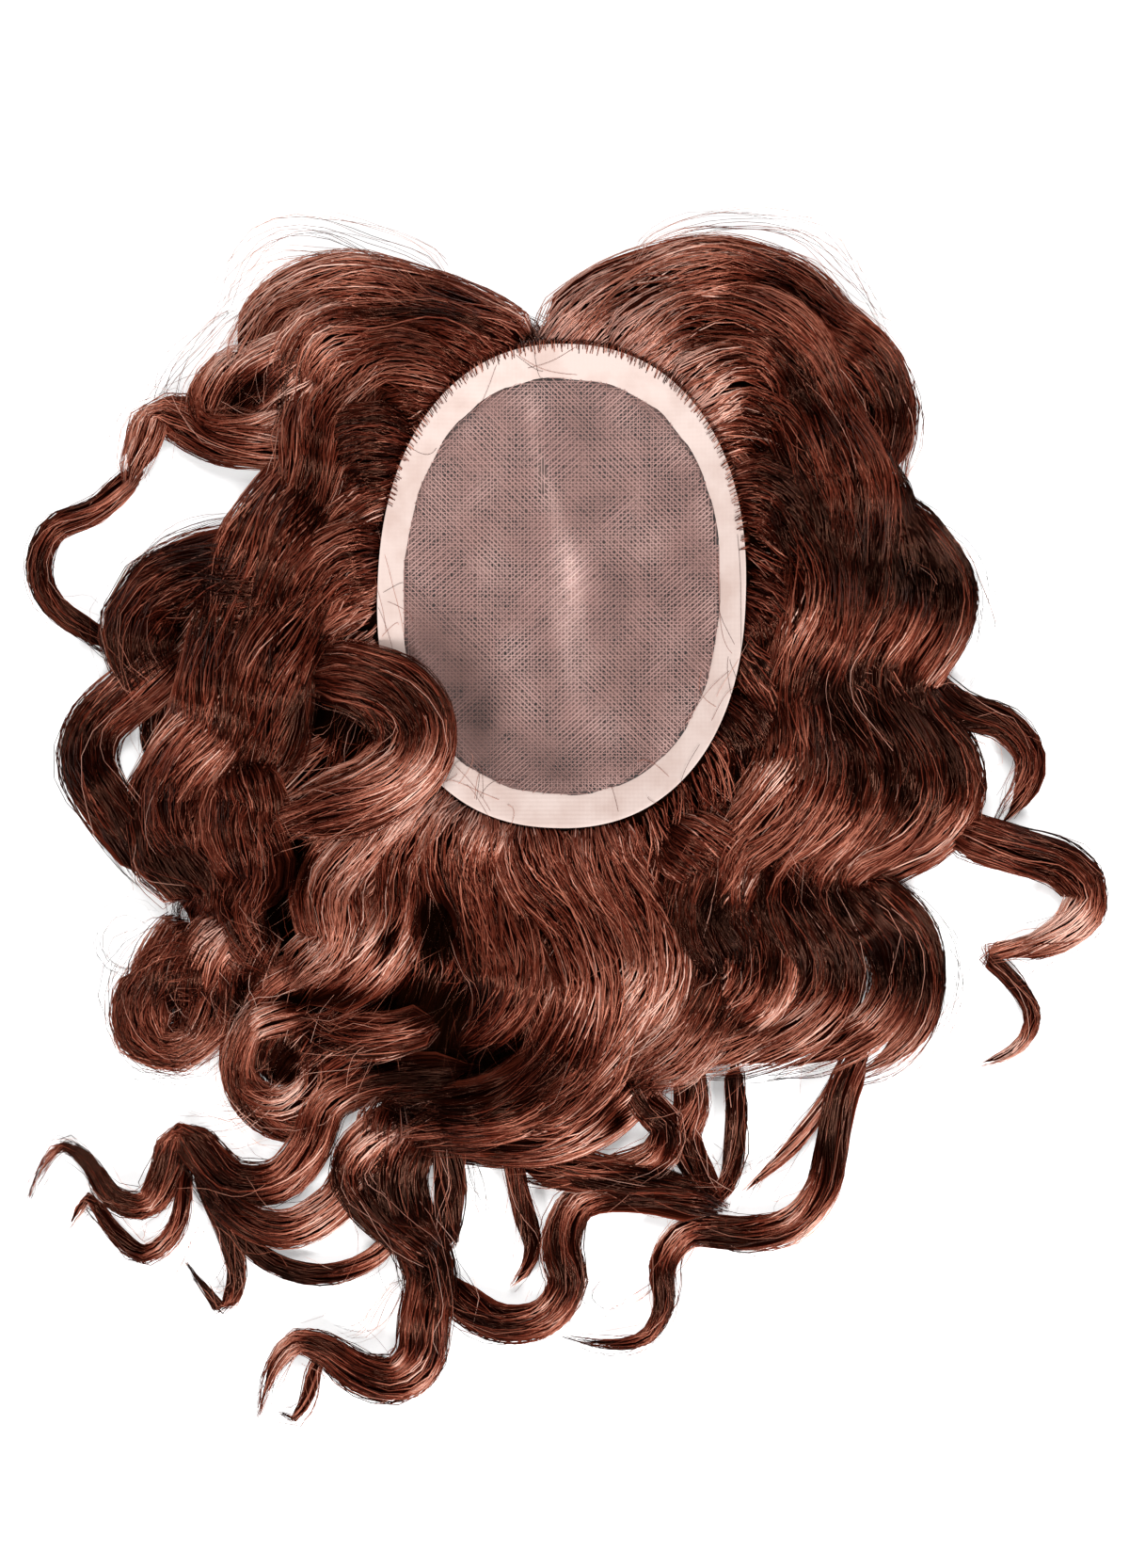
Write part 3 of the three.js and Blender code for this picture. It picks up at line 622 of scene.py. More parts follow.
@dataclass(frozen=True)
class SkinFilm(Finish):
    """Pale pinkish film with a faint weave in it and a soft gloss.

    Attributes:
        colour: the film itself.
        cloudy: its thicker places.
        clouds: how many of them to a metre, so that one is about 14 mm.
        spread: values of the noise at the thicker places and at the film.
        gloss: strength of its highlights.
        relief: height of the weave in metres, and its strength.
        weave: distance between threads in millimetres, drawn coarser than the film's so that it shows.
    """

    name: str = "pale skin film"
    roughness: float = 0.42
    colour: str = "#bdaba4"
    cloudy: str = "#b19c94"
    clouds: float = 70.0
    spread: tuple[float, float] = (0.35, 0.6)
    gloss: float = 0.15
    relief: tuple[float, float] = (0.00004, 0.5)
    weave: float = 1.6

    def material(self) -> bpy.types.Material:
        """Soft clouds of colour, and a bump of two crossing sets of threads.

        Returns:
            The material.
        """
        material, tree, shader = self.start()
        place = add_node(tree, "ShaderNodeTexCoord").outputs["Object"]
        clouds = add_node(tree, "ShaderNodeTexNoise", {"Vector": place, "Scale": self.clouds, "Detail": 4.0})
        colour = add_node(
            tree, "ShaderNodeValToRGB", {"Fac": clouds.outputs["Fac"]},
            stops=list(zip(self.spread, (self.cloudy, self.colour))),
        )
        # A wave texture repeats every 2 pi / 20 of its unit.
        scale = TURN / 20.0 / (self.weave * MM)
        warp = add_node(tree, "ShaderNodeTexWave", {"Vector": place, "Scale": scale}, bands_direction="X")
        weft = add_node(tree, "ShaderNodeTexWave", {"Vector": place, "Scale": scale}, bands_direction="Y")
        both = {0: warp.outputs["Fac"], 1: weft.outputs["Fac"]}
        cross = add_node(tree, "ShaderNodeMath", both, operation="ADD")
        height, strength = self.relief
        relief = {"Height": cross.outputs[0], "Distance": height, "Strength": strength}
        bump = add_node(tree, "ShaderNodeBump", relief)
        connect(tree, shader, {"Base Color": colour.outputs["Color"], "Normal": bump.outputs["Normal"]})
        connect(tree, shader, {"Specular IOR Level": self.gloss})
        return material


@dataclass(frozen=True)
class NetGround(Finish):
    """The lower layer of the net: brown, with cloudy patches, paler along the parting.

    Attributes:
        dark: the net where hair lies close behind it.
        light: the net where it stands clear.
        clouds: patches to a metre, so that one is about 10 mm.
        spread: values of the noise at the dark net and at the light one.
        parting: the net along the parting.
    """

    name: str = "brown net"
    roughness: float = 0.75
    dark: str = "#160907"
    light: str = "#523a35"
    clouds: float = 95.0
    spread: tuple[float, float] = (0.42, 0.64)
    parting: str = "#b08a80"

    def material(self) -> bpy.types.Material:
        """Clouds of the two browns, mixed towards the parting's colour by the parting attribute.

        Returns:
            The material.
        """
        material, tree, shader = self.start()
        place = add_node(tree, "ShaderNodeTexCoord").outputs["Object"]
        clouds = add_node(tree, "ShaderNodeTexNoise", {"Vector": place, "Scale": self.clouds, "Detail": 6.0})
        colour = add_node(
            tree, "ShaderNodeValToRGB", {"Fac": clouds.outputs["Fac"]},
            stops=list(zip(self.spread, (self.dark, self.light))),
        )
        near = add_node(tree, "ShaderNodeAttribute", attribute_name="parting")
        both = add_node(
            tree, "ShaderNodeMix",
            {0: near.outputs["Fac"], 6: colour.outputs["Color"], 7: linear(self.parting)},
            data_type="RGBA",
        )
        connect(tree, shader, {"Base Color": both.outputs[2]})
        return material


@dataclass(frozen=True)
class NetThread(Finish):
    """Fine pinkish-brown threads that catch the light.

    Attributes:
        shaded: a thread in the shade.
        thread: a thread of the net.
        parting: a thread along the parting.
        rows: where each of the three lies on the map.
    """

    name: str = "net thread"
    roughness: float = 0.5
    shaded: str = "#583b35"
    thread: str = "#99766f"
    parting: str = "#dfc0b8"
    rows: tuple[float, float, float] = (0.03, 0.4, 0.95)

    def material(self) -> bpy.types.Material:
        """The map's rows go from the shaded thread over the plain one to that along the parting.

        Returns:
            The material.
        """
        material, tree, shader = self.start()
        place = add_node(tree, "ShaderNodeUVMap", uv_map=BAKE_MAP)
        split = add_node(tree, "ShaderNodeSeparateXYZ", {"Vector": place.outputs["UV"]})
        colour = add_node(
            tree, "ShaderNodeValToRGB", {"Fac": split.outputs["Y"]},
            stops=list(zip(self.rows, (self.shaded, self.thread, self.parting))),
        )
        connect(tree, shader, {"Base Color": colour.outputs["Color"]})
        return material


@dataclass(frozen=True)
class PaleFloor(Finish):
    """A plain matt white floor with a faint light of its own, like a photographer's light table.

    Attributes:
        colour: the floor.
        glow: strength of its light.
    """

    name: str = "pale floor"
    roughness: float = 0.9
    colour: str = "#eeeeee"
    glow: float = 0.46

    def material(self) -> bpy.types.Material:
        """One colour.

        Returns:
            The material.
        """
        material, tree, shader = self.start()
        colour = linear(self.colour)
        look = {"Base Color": colour, "Emission Color": colour, "Emission Strength": self.glow}
        connect(tree, shader, look)
        return material


@dataclass
class Web:
    """Faces gathered into one joined mesh, in millimetres from the middle of the base.

    Attributes:
        points: of the mesh.
        faces: point numbers of the four-sided and of the three-sided faces.
        maps: map places of their corners.
        values: how near each point is to the parting, where the finish asks for it.
        count: points so far.
    """

    points: list[np.ndarray] = field(default_factory=list)
    faces: dict[int, list[np.ndarray]] = field(default_factory=lambda: {4: [], 3: []})
    maps: dict[int, list[np.ndarray]] = field(default_factory=lambda: {4: [], 3: []})
    values: list[np.ndarray] = field(default_factory=list)
    count: int = 0

    def add(self, rings: np.ndarray, uv: np.ndarray | None = None, closed: bool = False) -> None:
        """Skins rings of points in order, and closes the ends with fans unless the rings meet.

        Args:
            rings: points of the shape (tubes, rings, points, 3).
            uv: map places of the shape (tubes, rings, points + 1, 2).
            closed: whether the last ring joins the first.
        """
        many, length, around, _ = rings.shape
        index = self.count + np.arange(many * length * around).reshape(many, length, around)
        here = index if closed else index[:, :-1]
        ahead = np.roll(index, -1, axis=1) if closed else index[:, 1:]
        quads = np.stack([here, ahead, np.roll(ahead, -1, axis=2), np.roll(here, -1, axis=2)], axis=-1)
        self.faces[4].append(quads.reshape(-1, 4))
        self.points.append(rings.reshape(-1, 3))
        self.count += index.size
        if uv is not None:
            corners = [uv[:, :-1, :-1], uv[:, 1:, :-1], uv[:, 1:, 1:], uv[:, :-1, 1:]]
            self.maps[4].append(np.stack(corners, axis=-2).reshape(-1, 4, 2))
        if closed:
            return
        for ring, edge, way in ((0, 0.0, 1), (-1, 1.0, -1)):
            middle = self.count + np.arange(many)[:, None].repeat(around, axis=1)
            fan = np.stack([middle, index[:, ring], np.roll(index[:, ring], -1, axis=1)], axis=-1)
            self.faces[3].append(fan[..., ::way].reshape(-1, 3))
            self.points.append(rings[:, ring].mean(axis=1))
            self.count += many
            if uv is not None:
                rim = uv[:, ring]
                centre = rim.mean(axis=1, keepdims=True).repeat(around, axis=1)
                centre[..., 0] = edge
                corners = np.stack([centre, rim[:, :-1], rim[:, 1:]], axis=-2)
                self.maps[3].append(corners[..., ::way, :].reshape(-1, 3, 2))

    def add_tubes(self, lines: np.ndarray, radius: np.ndarray, tint: np.ndarray) -> None:
        """Skins lines as thin tubes, each in its tint's row of the map.

        Args:
            lines: points of the shape (lines, points, 3).
            radius: of the shape (lines, points).
            tint: from 0 to 1, for each line or for each point of each line.
        """
        self.add(tubes(lines, radius), tint_map(tint, lines.shape[1]))

    def triangles(self) -> int:
        """Counts the triangles gathered so far."""
        return sum(2 * len(f) for f in self.faces[4]) + sum(len(f) for f in self.faces[3])

    def piece(self, name: str, finish: Finish, slot: str, middle: np.ndarray) -> bpy.types.Object:
        """Makes the mesh object, smooth shaded, in the row's frame.

        Args:
            name: the object's name.
            finish: what it is made of.
            slot: the record's material slot; not used.
            middle: middle of the base in the row's frame, in millimetres.

        Returns:
            The object, fixed to the root body.
        """
        points = (np.concatenate(self.points) + [*middle, 0.0]) * MM
        sizes = [(sides, np.concatenate(faces)) for sides, faces in self.faces.items() if faces]
        corners = np.concatenate([faces.ravel() for _, faces in sizes])
        corner_counts = np.concatenate([np.full(len(faces), sides) for sides, faces in sizes])
        starts = np.cumsum(corner_counts) - corner_counts
        mesh = bpy.data.meshes.new(name)
        mesh.vertices.add(len(points))
        mesh.vertices.foreach_set("co", points.ravel())
        mesh.loops.add(len(corners))
        mesh.loops.foreach_set("vertex_index", corners.astype(np.int32))
        mesh.polygons.add(len(starts))
        mesh.polygons.foreach_set("loop_start", starts.astype(np.int32))
        mesh.polygons.foreach_set("use_smooth", np.ones(len(starts), bool))
        if any(self.maps.values()):
            places = np.concatenate([np.concatenate(self.maps[sides]).ravel() for sides, _ in sizes])
            mesh.uv_layers.new(name=BAKE_MAP).data.foreach_set("uv", places.astype(np.float32))
        if self.values:
            layer = mesh.attributes.new("parting", "FLOAT", "POINT")
            layer.data.foreach_set("value", np.concatenate(self.values).astype(np.float32))
        mesh.update(calc_edges=True)
        mesh.materials.append(finish.material())
        piece = bpy.data.objects.new(name, mesh)
        bpy.context.scene.collection.objects.link(piece)
        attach(piece, "root")
        LOG.info("%s: %d triangles", name, self.triangles())
        return piece


def tubes(lines: np.ndarray, radius: np.ndarray, sides: int = 3) -> np.ndarray:
    """Rings around many lines at once: each is a circle square to its line, so a line becomes a thin tube.

    The corners are turned by a quarter of a step, so that a ring of three has a flat side on top.

    Args:
        lines: points of the shape (lines, points, 3).
        radius: of the shape (lines, points).
        sides: corners of a ring.

    Returns:
        Rings of the shape (lines, points, sides, 3).
    """
    way = np.gradient(lines, axis=1)
    way /= np.linalg.norm(way, axis=-1, keepdims=True) + 1e-9
    flat = np.stack([way[..., 1], -way[..., 0], np.zeros_like(way[..., 0])], axis=-1)
    flat /= np.linalg.norm(flat, axis=-1, keepdims=True) + 1e-9
    lift = np.cross(flat, way)
    turn = TURN * (np.arange(sides) + 0.25) / sides
    ring = flat[:, :, None] * np.cos(turn)[:, None] + lift[:, :, None] * np.sin(turn)[:, None]
    return lines[:, :, None] + ring * radius[:, :, None, None]


def tint_map(tint: np.ndarray, length: int, sides: int = 3) -> np.ndarray:
    """Places of tubes on their map: columns run along each tube, and a tube lies in the row of its tint.

    A row is 0.02 of the map high, and one row is left free at the bottom.

    Args:
        tint: from 0 to 1, for each tube or for each ring of each tube.
        length: rings of a tube.
        sides: corners of a ring.

    Returns:
        Map places of the shape (tubes, rings, sides + 1, 2).
    """
    row = 0.02 + 0.94 * np.clip(tint, 0.0, 1.0)
    row = np.broadcast_to(row.reshape(len(row), -1, 1), (len(row), length, sides + 1))
    column = np.broadcast_to(np.linspace(0.01, 0.99, length)[None, :, None], row.shape)
    return np.stack([column, row + 0.02 * np.arange(sides + 1) / sides], axis=-1)


def skin_map(length: int, around: int) -> np.ndarray:
    """Places of one wide tube on its map: columns go around it, and rows run along it.

    Args:
        length: rings of the tube.
        around: corners of a ring.

    Returns:
        Map places of the shape (1, rings, corners + 1, 2).
    """
    column, row = np.meshgrid(np.linspace(0.0, 1.0, around + 1), np.linspace(0.01, 0.99, length))
    return np.stack([column, row], axis=-1)[None]


def raised(spot: np.ndarray, high: np.ndarray) -> np.ndarray:
    """Places in the plane and their heights, as points."""
    return np.concatenate([spot, high[..., None]], axis=-1)


@dataclass(frozen=True)
class Oval:
    """The base's shape: a shallow bowl within a rounded-square oval, a little narrower in front and turned.

    Attributes:
        half_wide: half its width.
        half_long: half its length.
        power: how square the oval is, from 2 for an ellipse.
        egg: how much narrower the front is.
        turn: its turn about Z in radians.
        low: height of the middle.
        deep: rise from the middle to the rim.
        panel: where the net ends, as a share of the way out.
    """

    half_wide: float = 70.0
    half_long: float = 92.0
    power: float = 2.25
    egg: float = 0.02
    turn: float = math.radians(-2.0)
    low: float = 16.0
    deep: float = 18.0
    panel: float = 0.855

    def rim(self, angle: np.ndarray) -> np.ndarray:
        """Points of the rim.

        Args:
            angle: around the oval, from +X towards +Y.

        Returns:
            X and Y in the last axis.
        """
        cos = np.cos(angle)
        sin = np.sin(angle)
        x = np.sign(cos) * self.half_wide * np.abs(cos) ** (2.0 / self.power) * (1.0 - self.egg * sin)
        y = np.sign(sin) * self.half_long * np.abs(sin) ** (2.0 / self.power)
        c = math.cos(self.turn)
        s = math.sin(self.turn)
        return np.stack([c * x - s * y, s * x + c * y], axis=-1)

    def out(self, x: np.ndarray, y: np.ndarray) -> np.ndarray:
        """Share of the way out from the middle to the rim, above 1 outside it.

        Args:
            x: to the right.
            y: to the front.

        Returns:
            The share at each point.
        """
        c = math.cos(self.turn)
        s = math.sin(self.turn)
        ahead = (c * y - s * x) / self.half_long
        across = (c * x + s * y) / (self.half_wide * (1.0 - self.egg * np.clip(ahead, -1.0, 1.0)))
        return (np.abs(across) ** self.power + np.abs(ahead) ** self.power) ** (1.0 / self.power)

    def bowl(self, out: np.ndarray) -> np.ndarray:
        """Height of the middle of the wall, which rises with the square of the way out."""
        return self.low + self.deep * out * out

    def middle(self) -> np.ndarray:
        """Middle of the base in the row's frame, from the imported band's box.

        Returns:
            X and Y in millimetres.
        """
        low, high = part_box("skin_band")
        edge = self.rim(np.linspace(0.0, TURN, 721))
        box = np.array([(low.x + high.x) / 2, (low.y + high.y) / 2]) / MM
        return box - (edge.min(axis=0) + edge.max(axis=0)) / 2


def parting(x: np.ndarray, y: np.ndarray) -> np.ndarray:
    """How near a point of the net is to the parting, a bright streak that leans across its front half.

    The streak is a bell across a line that goes from x = -11 in front to x = 4 in the middle, wider there,
    and a longer bell is the spot where it ends. Crossing sines, fine and coarse, break both up into a grain.

    Args:
        x: to the right.
        y: to the front.

    Returns:
        From 0 to 1.
    """
    line = mix(-11.0, 4.0, smooth(62.0, 0.0, y))
    streak = np.exp(-(((x - line) / mix(3.0, 6.0, smooth(50.0, 5.0, y))) ** 2))
    spot = np.exp(-(((x - 3.0) / 5.0) ** 2) - ((y + 2.0) / 16.0) ** 2)
    grain = np.sin(1.9 * x + 0.7 * y) * np.sin(1.3 * y - 0.9 * x)
    grain += np.sin(0.6 * x - 0.35 * y) * np.sin(0.5 * y)
    bright = 0.2 * streak * smooth(78.0, 65.0, y) * smooth(-75.0, -10.0, y) + 0.42 * spot
    return np.clip(bright * (0.8 + 0.4 * grain), 0.0, 1.0)


@dataclass(frozen=True)
class ThreadSet:
    """Threads of the net that run one way.

    Attributes:
        degrees: their direction from +X towards +Y.
        pitch: distance from one to the next.
        radius: of a thread.
        lift: height above the lower layer.
        patch: sign of the shimmer where they are thickest, or 0 for even threads.
    """

    degrees: float
    pitch: float
    radius: float
    lift: float = 0.0
    patch: float = 0.0


THREADS = (
    ThreadSet(0.0, 1.3, 0.15, lift=0.02),
    ThreadSet(90.0, 1.3, 0.15, lift=0.04),
    ThreadSet(41.0, 1.5, 0.3, patch=1.0),
    ThreadSet(-44.0, 1.5, 0.3, patch=-1.0),
)


@dataclass
class NetPanel:
    """The net that the base is made of: a brown lower layer with finer threads stretched over it.

    Attributes:
        base: the base's shape.
        middle: middle of the base in the row's frame.
        thick: of the lower layer.
        edge: share of the way out where it stops, a little under the band.
        flat: width and length of the cut in metres; not used.
        area: of the cut in square metres; not used.
        seed: starts the random numbers that space the threads.
        span: half the length of a thread before it is cut.
        uneven: how far a thread lies from its place.
        rings: rings on top of the lower layer, and underneath.
    """

    base: Oval
    middle: np.ndarray
    thick: float = 1.2
    edge: float = 0.866
    flat: tuple[float, float] = (0.120, 0.158)
    area: float = 0.0154
    seed: int = 7
    span: float = 100.0
    uneven: float = 0.3
    rings: tuple[int, int] = (44, 10)

    def height(self, x: np.ndarray, y: np.ndarray) -> np.ndarray:
        """Top of the lower layer: the bowl with a few soft pulls in the cloth.

        The pulls are two crossing sines 0.35 mm high, and a ridge of 0.8 mm follows the front of the
        parting. Both die away towards the edge.

        Args:
            x: to the right.
            y: to the front.

        Returns:
            Heights.
        """
        out = self.base.out(x, y)
        pulls = 0.35 * np.sin(x / 9.0 + y / 23.0) * np.sin(y / 17.0 - x / 31.0)
        ridge = 0.8 * np.exp(-(((x + 9.0 - 0.08 * (60.0 - y)) / 2.5) ** 2)) * smooth(20.0, 45.0, y)
        return self.base.bowl(out) + self.thick / 2 + (pulls + ridge) * smooth(1.0, 0.7, out / self.edge)

    def build(self) -> None:
        """Makes the lower layer and the threads."""
        ground = self.ground()
        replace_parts(ground, "mesh_panel")
        threads = self.threads()

    def ground(self) -> bpy.types.Object:
        """Rings from the middle of the top out to the edge, and back to the middle underneath.

        Returns:
            The lower layer.
        """
        rim = self.base.rim(np.linspace(0.0, TURN, 120, endpoint=False))
        top, bottom = self.rings
        out = np.concatenate([np.linspace(0.02, self.edge, top), np.linspace(self.edge, 0.02, bottom)])
        spot = out[:, None, None] * rim
        over = self.height(spot[..., 0], spot[..., 1])
        under = np.broadcast_to(self.base.bowl(out)[:, None] - self.thick / 2, over.shape)
        high = np.where((np.arange(len(out)) < top)[:, None], over, under)
        web = Web()
        web.add(raised(spot, high)[None])
        points = np.concatenate(web.points)
        web.values.append(parting(points[:, 0], points[:, 1]))
        return web.piece("net_ground", NetGround(), "brown_net", self.middle)

    def threads(self) -> bpy.types.Object:
        """Straight threads laid over the bowl in four directions.

        The two square to the base make the weave. Of the two aslant, one or the other is thicker in patches,
        which are the shimmer of one net over another. The real threads are too fine to show, so these are
        coarser and further apart.

        Returns:
            The threads.
        """
        web = Web()
        rng = np.random.default_rng(self.seed)
        for threads in THREADS:
            line = self.stretch(threads, rng)
            x = line[..., 0]
            y = line[..., 1]
            thin = np.full(x.shape, threads.radius)
            if threads.patch:
                thin *= mix(0.2, 1.0, smooth(-0.5, 0.9, threads.patch * self.shimmer(x, y)))
            shade = sum(hollow.at(x, y) for hollow in NET_SHADES)
            tint = 0.42 + 0.6 * parting(x, y) + 0.055 * self.cloud(x, y) - 0.4 * shade
            web.add_tubes(line, thin, tint)
        return web.piece("net_threads", NetThread(), "brown_net", self.middle)

    def stretch(self, threads: ThreadSet, rng: np.random.Generator) -> np.ndarray:
        """Lines of one set of threads: parallel rows, a little uneven, cut where the net ends.

        Args:
            threads: the set.
            rng: random numbers.

        Returns:
            Points of the shape (threads, points, 3).
        """
        turn = math.radians(threads.degrees)
        way = np.array([math.cos(turn), math.sin(turn)])
        square = np.array([-way[1], way[0]])
        off = np.arange(-self.span, self.span, threads.pitch)
        off = off + rng.uniform(-self.uneven, self.uneven, len(off))
        run = np.linspace(-1.0, 1.0, 81) * self.span
        grid = off[:, None, None] * square + run[None, :, None] * way
        inside = self.base.out(grid[..., 0], grid[..., 1]) < self.edge
        first = inside.argmax(axis=1)
        last = len(run) - 1 - inside[:, ::-1].argmax(axis=1)
        kept = inside.any(axis=1) & (last - first > 2)
        place = mix(run[first[kept]][:, None], run[last[kept]][:, None], np.linspace(0.0, 1.0, 26))
        spot = off[kept][:, None, None] * square + place[..., None] * way
        return raised(spot, self.height(spot[..., 0], spot[..., 1]) + threads.lift)

    @staticmethod
    def shimmer(x: np.ndarray, y: np.ndarray) -> np.ndarray:
        """Patches of one net or the other, as two wavy sines across each other and one aslant."""
        patches = np.sin(x / 9.0 + 1.4 * np.sin(y / 13.0)) * np.sin(y / 11.0 + 1.1 * np.sin(x / 10.0))
        return patches + 0.5 * np.sin((x + y) / 7.0 + 1.0)

    @staticmethod
    def cloud(x: np.ndarray, y: np.ndarray) -> np.ndarray:
        """Lighter and darker places of the threads, as two pairs of sines across each other."""
        places = np.sin(x / 5.1 + 1.3 * np.sin(y / 9.7)) * np.sin(y / 6.3 + 1.1 * np.sin(x / 8.9))
        return places + np.sin((x - 0.6 * y) / 7.7 + 2.0) * np.sin((0.8 * x + y) / 9.1)


@dataclass
class FilmBand:
    """The band of pale film around the net.

    Attributes:
        base: the base's shape.
        middle: middle of the base in the row's frame.
        thick: of the film.
        ripple: height of its soft ripples.
        around: sections around the oval, and corners of a section.
    """

    base: Oval
    middle: np.ndarray
    thick: float = 1.4
    ripple: float = 0.18
    around: tuple[int, int] = (200, 28)

    def build(self) -> None:
        """A rounded flat section carried around the oval: a superellipse from the net's edge to the rim."""
        angle, turn = (np.linspace(0.0, TURN, count, endpoint=False) for count in self.around)
        wide = np.sign(np.cos(turn)) * np.abs(np.cos(turn)) ** 0.25
        tall = np.sign(np.sin(turn)) * np.abs(np.sin(turn)) ** 0.5
        out = (1.0 + self.base.panel) / 2 + (1.0 - self.base.panel) / 2 * wide
        spot = out[None, :, None] * self.base.rim(angle)[:, None]
        soft = self.ripple * np.sin(7.0 * angle) * np.sin(11.0 * angle + 1.0)
        high = self.base.bowl(out)[None] + self.thick / 2 * tall[None] + soft[:, None]
        web = Web()
        web.add(raised(spot, high)[None], closed=True)
        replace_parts(web.piece("film_band", SkinFilm(), "pale_film", self.middle), "skin_band")


@dataclass
class Lock:
    """A lock of hair laid out along its curve.

    Attributes:
        row: its row of the table.
        base: the base's shape.
        count: points along it.
        flat: half its thickness, as a share of its width.
        bend: its greatest half width, as a share of the curve's radius.
        bounce: height of its waves as a share of its width, and the length of a wave.
        ends: shares of its width left at the very root and tip.
        narrows: share of its length over which it narrows to each end.
        probe: distance each way over which the curve's radius is measured.
        climb: how steeply it may rise beyond the rim.
        clear: its distances over the base's wall and under it.
        packed: depth that hair above its limit is packed into, and the height that two thirds of it take.
        drop: how far the tip of a lock over the base goes down.
        floor: lowest height of a hair.
        long: its length.
        along: shares of its length at its points.
        frame: the sections at its points, which at() reads.
    """

    row: LockRow
    base: Oval
    count: int = 240
    flat: float = 0.36
    bend: float = 0.85
    bounce: tuple[float, float] = (0.2, 62.0)
    ends: tuple[float, float] = (0.55, 0.35)
    narrows: float = 0.08
    probe: float = 5.0
    climb: float = 110.0
    clear: tuple[float, float] = (1.4, 1.6)
    packed: tuple[float, float] = (2.5, 6.0)
    drop: float = 17.0
    floor: float = 0.6
    long: float = field(init=False)
    along: np.ndarray = field(init=False)
    frame: np.ndarray = field(init=False)

    def __post_init__(self) -> None:
        """Lays the curve, a centripetal Catmull-Rom line through the row's points, and its sections."""
        row = self.row
        line = self.curve(np.array(row.via, float))
        steps = np.linalg.norm(np.diff(line, axis=0), axis=1)
        gone = np.concatenate([[0.0], np.cumsum(steps)])
        self.long = float(gone[-1])
        self.along = np.linspace(0.0, 1.0, self.count)
        x = np.interp(self.along, gone / self.long, line[:, 0])
        y = np.interp(self.along, gone / self.long, line[:, 1])
        heading = np.unwrap(np.arctan2(np.gradient(y), np.gradient(x)))
        reach = self.probe / self.long
        ahead = np.interp(np.minimum(1.0, self.along + reach), self.along, heading)
        behind = np.interp(np.maximum(0.0, self.along - reach), self.along, heading)
        radius = 2.0 * self.probe / np.maximum(1e-3, np.abs(ahead - behind))
        wide = mix(row.wide, row.tip, smooth(0.5, 1.0, self.along))
        wide *= mix(self.ends[0], 1.0, smooth(0.0, self.narrows, self.along))
        wide *= mix(self.ends[1], 1.0, smooth(0.0, self.narrows, 1.0 - self.along))
        wave = self.bounce[0] * wide * np.sin(TURN * self.along * self.long / self.bounce[1])
        high = mix(row.root, row.lie, smooth(0.0, row.settle, self.along)) + wave
        if row.layer is Layer.OVER:
            high -= self.drop * smooth(0.65, 1.0, self.along)
        half = np.minimum(wide / 2, self.bend * radius)
        self.frame = np.stack([x, y, high, np.sin(heading), -np.cos(heading), half, self.flat * wide])

    @staticmethod
    def curve(via: np.ndarray, per_span: int = 24) -> np.ndarray:
        """A smooth line through the points, each span a cubic whose ends lean by the distances around them.

        Args:
            via: points to pass through.
            per_span: points between two of them.

        Returns:
            Points of the line.
        """
        ends = np.concatenate([[2 * via[0] - via[1]], via, [2 * via[-1] - via[-2]]])
        step = np.sqrt(np.linalg.norm(np.diff(ends, axis=0), axis=1))[:, None]
        slope = np.diff(ends, axis=0) / step
        jump = (ends[2:] - ends[:-2]) / (step[1:] + step[:-1])
        lean = slope[:-1] - jump + slope[1:]
        t = np.linspace(0.0, 1.0, per_span)[None, :, None]
        p = ends[1:-2][:, None]
        q = ends[2:-1][:, None]
        a = (lean[:-1] * step[1:-1])[:, None]
        b = (lean[1:] * step[1:-1])[:, None]
        line = p + a * t + (3 * (q - p) - 2 * a - b) * t**2 + (2 * (p - q) + a + b) * t**3
        return np.concatenate([line[:, :-1].reshape(-1, 2), via[-1:]])

    def at(self, along: np.ndarray) -> np.ndarray:
        """Reads the sections at shares of the length.

        Args:
            along: shares, in any shape.

        Returns:
            X, Y, height, the way across in X and Y, half width and half thickness, in the first axis.
        """
        flat = along.ravel()
        return np.stack([np.interp(flat, self.along, row) for row in self.frame]).reshape(-1, *along.shape)

    def place(self, along: np.ndarray, across: np.ndarray, up: np.ndarray) -> np.ndarray:
        """Points of the lock, kept above the floor and on their own side of the base.

        Hair that would come up through the wall is packed under it: the higher it would lie, the closer it
        comes to the limit, so the order of the hairs stays.

        Args:
            along: shares of the length.
            across: distance to the right of the curve.
            up: distance above its middle.

        Returns:
            Points in the last axis.
        """
        x, y, high, side_x, side_y, _, _ = self.at(along)
        x = x + side_x * across
        y = y + side_y * across
        z = high + up
        out = self.base.out(x, y)
        wall = self.base.bowl(np.minimum(out, 1.0))
        over, under = self.clear
        deep, fall = self.packed
        if self.row.layer is Layer.OVER:
            z = np.where(out < 1.02, np.maximum(z, wall + over), z)
        else:
            limit = wall - under + self.climb * np.maximum(out - 1.0, 0.0)
            z = np.minimum(z, limit - deep * np.exp(-np.maximum(z - limit, 0.0) / fall))
        return np.stack([x, y, np.maximum(z, self.floor)], axis=-1)


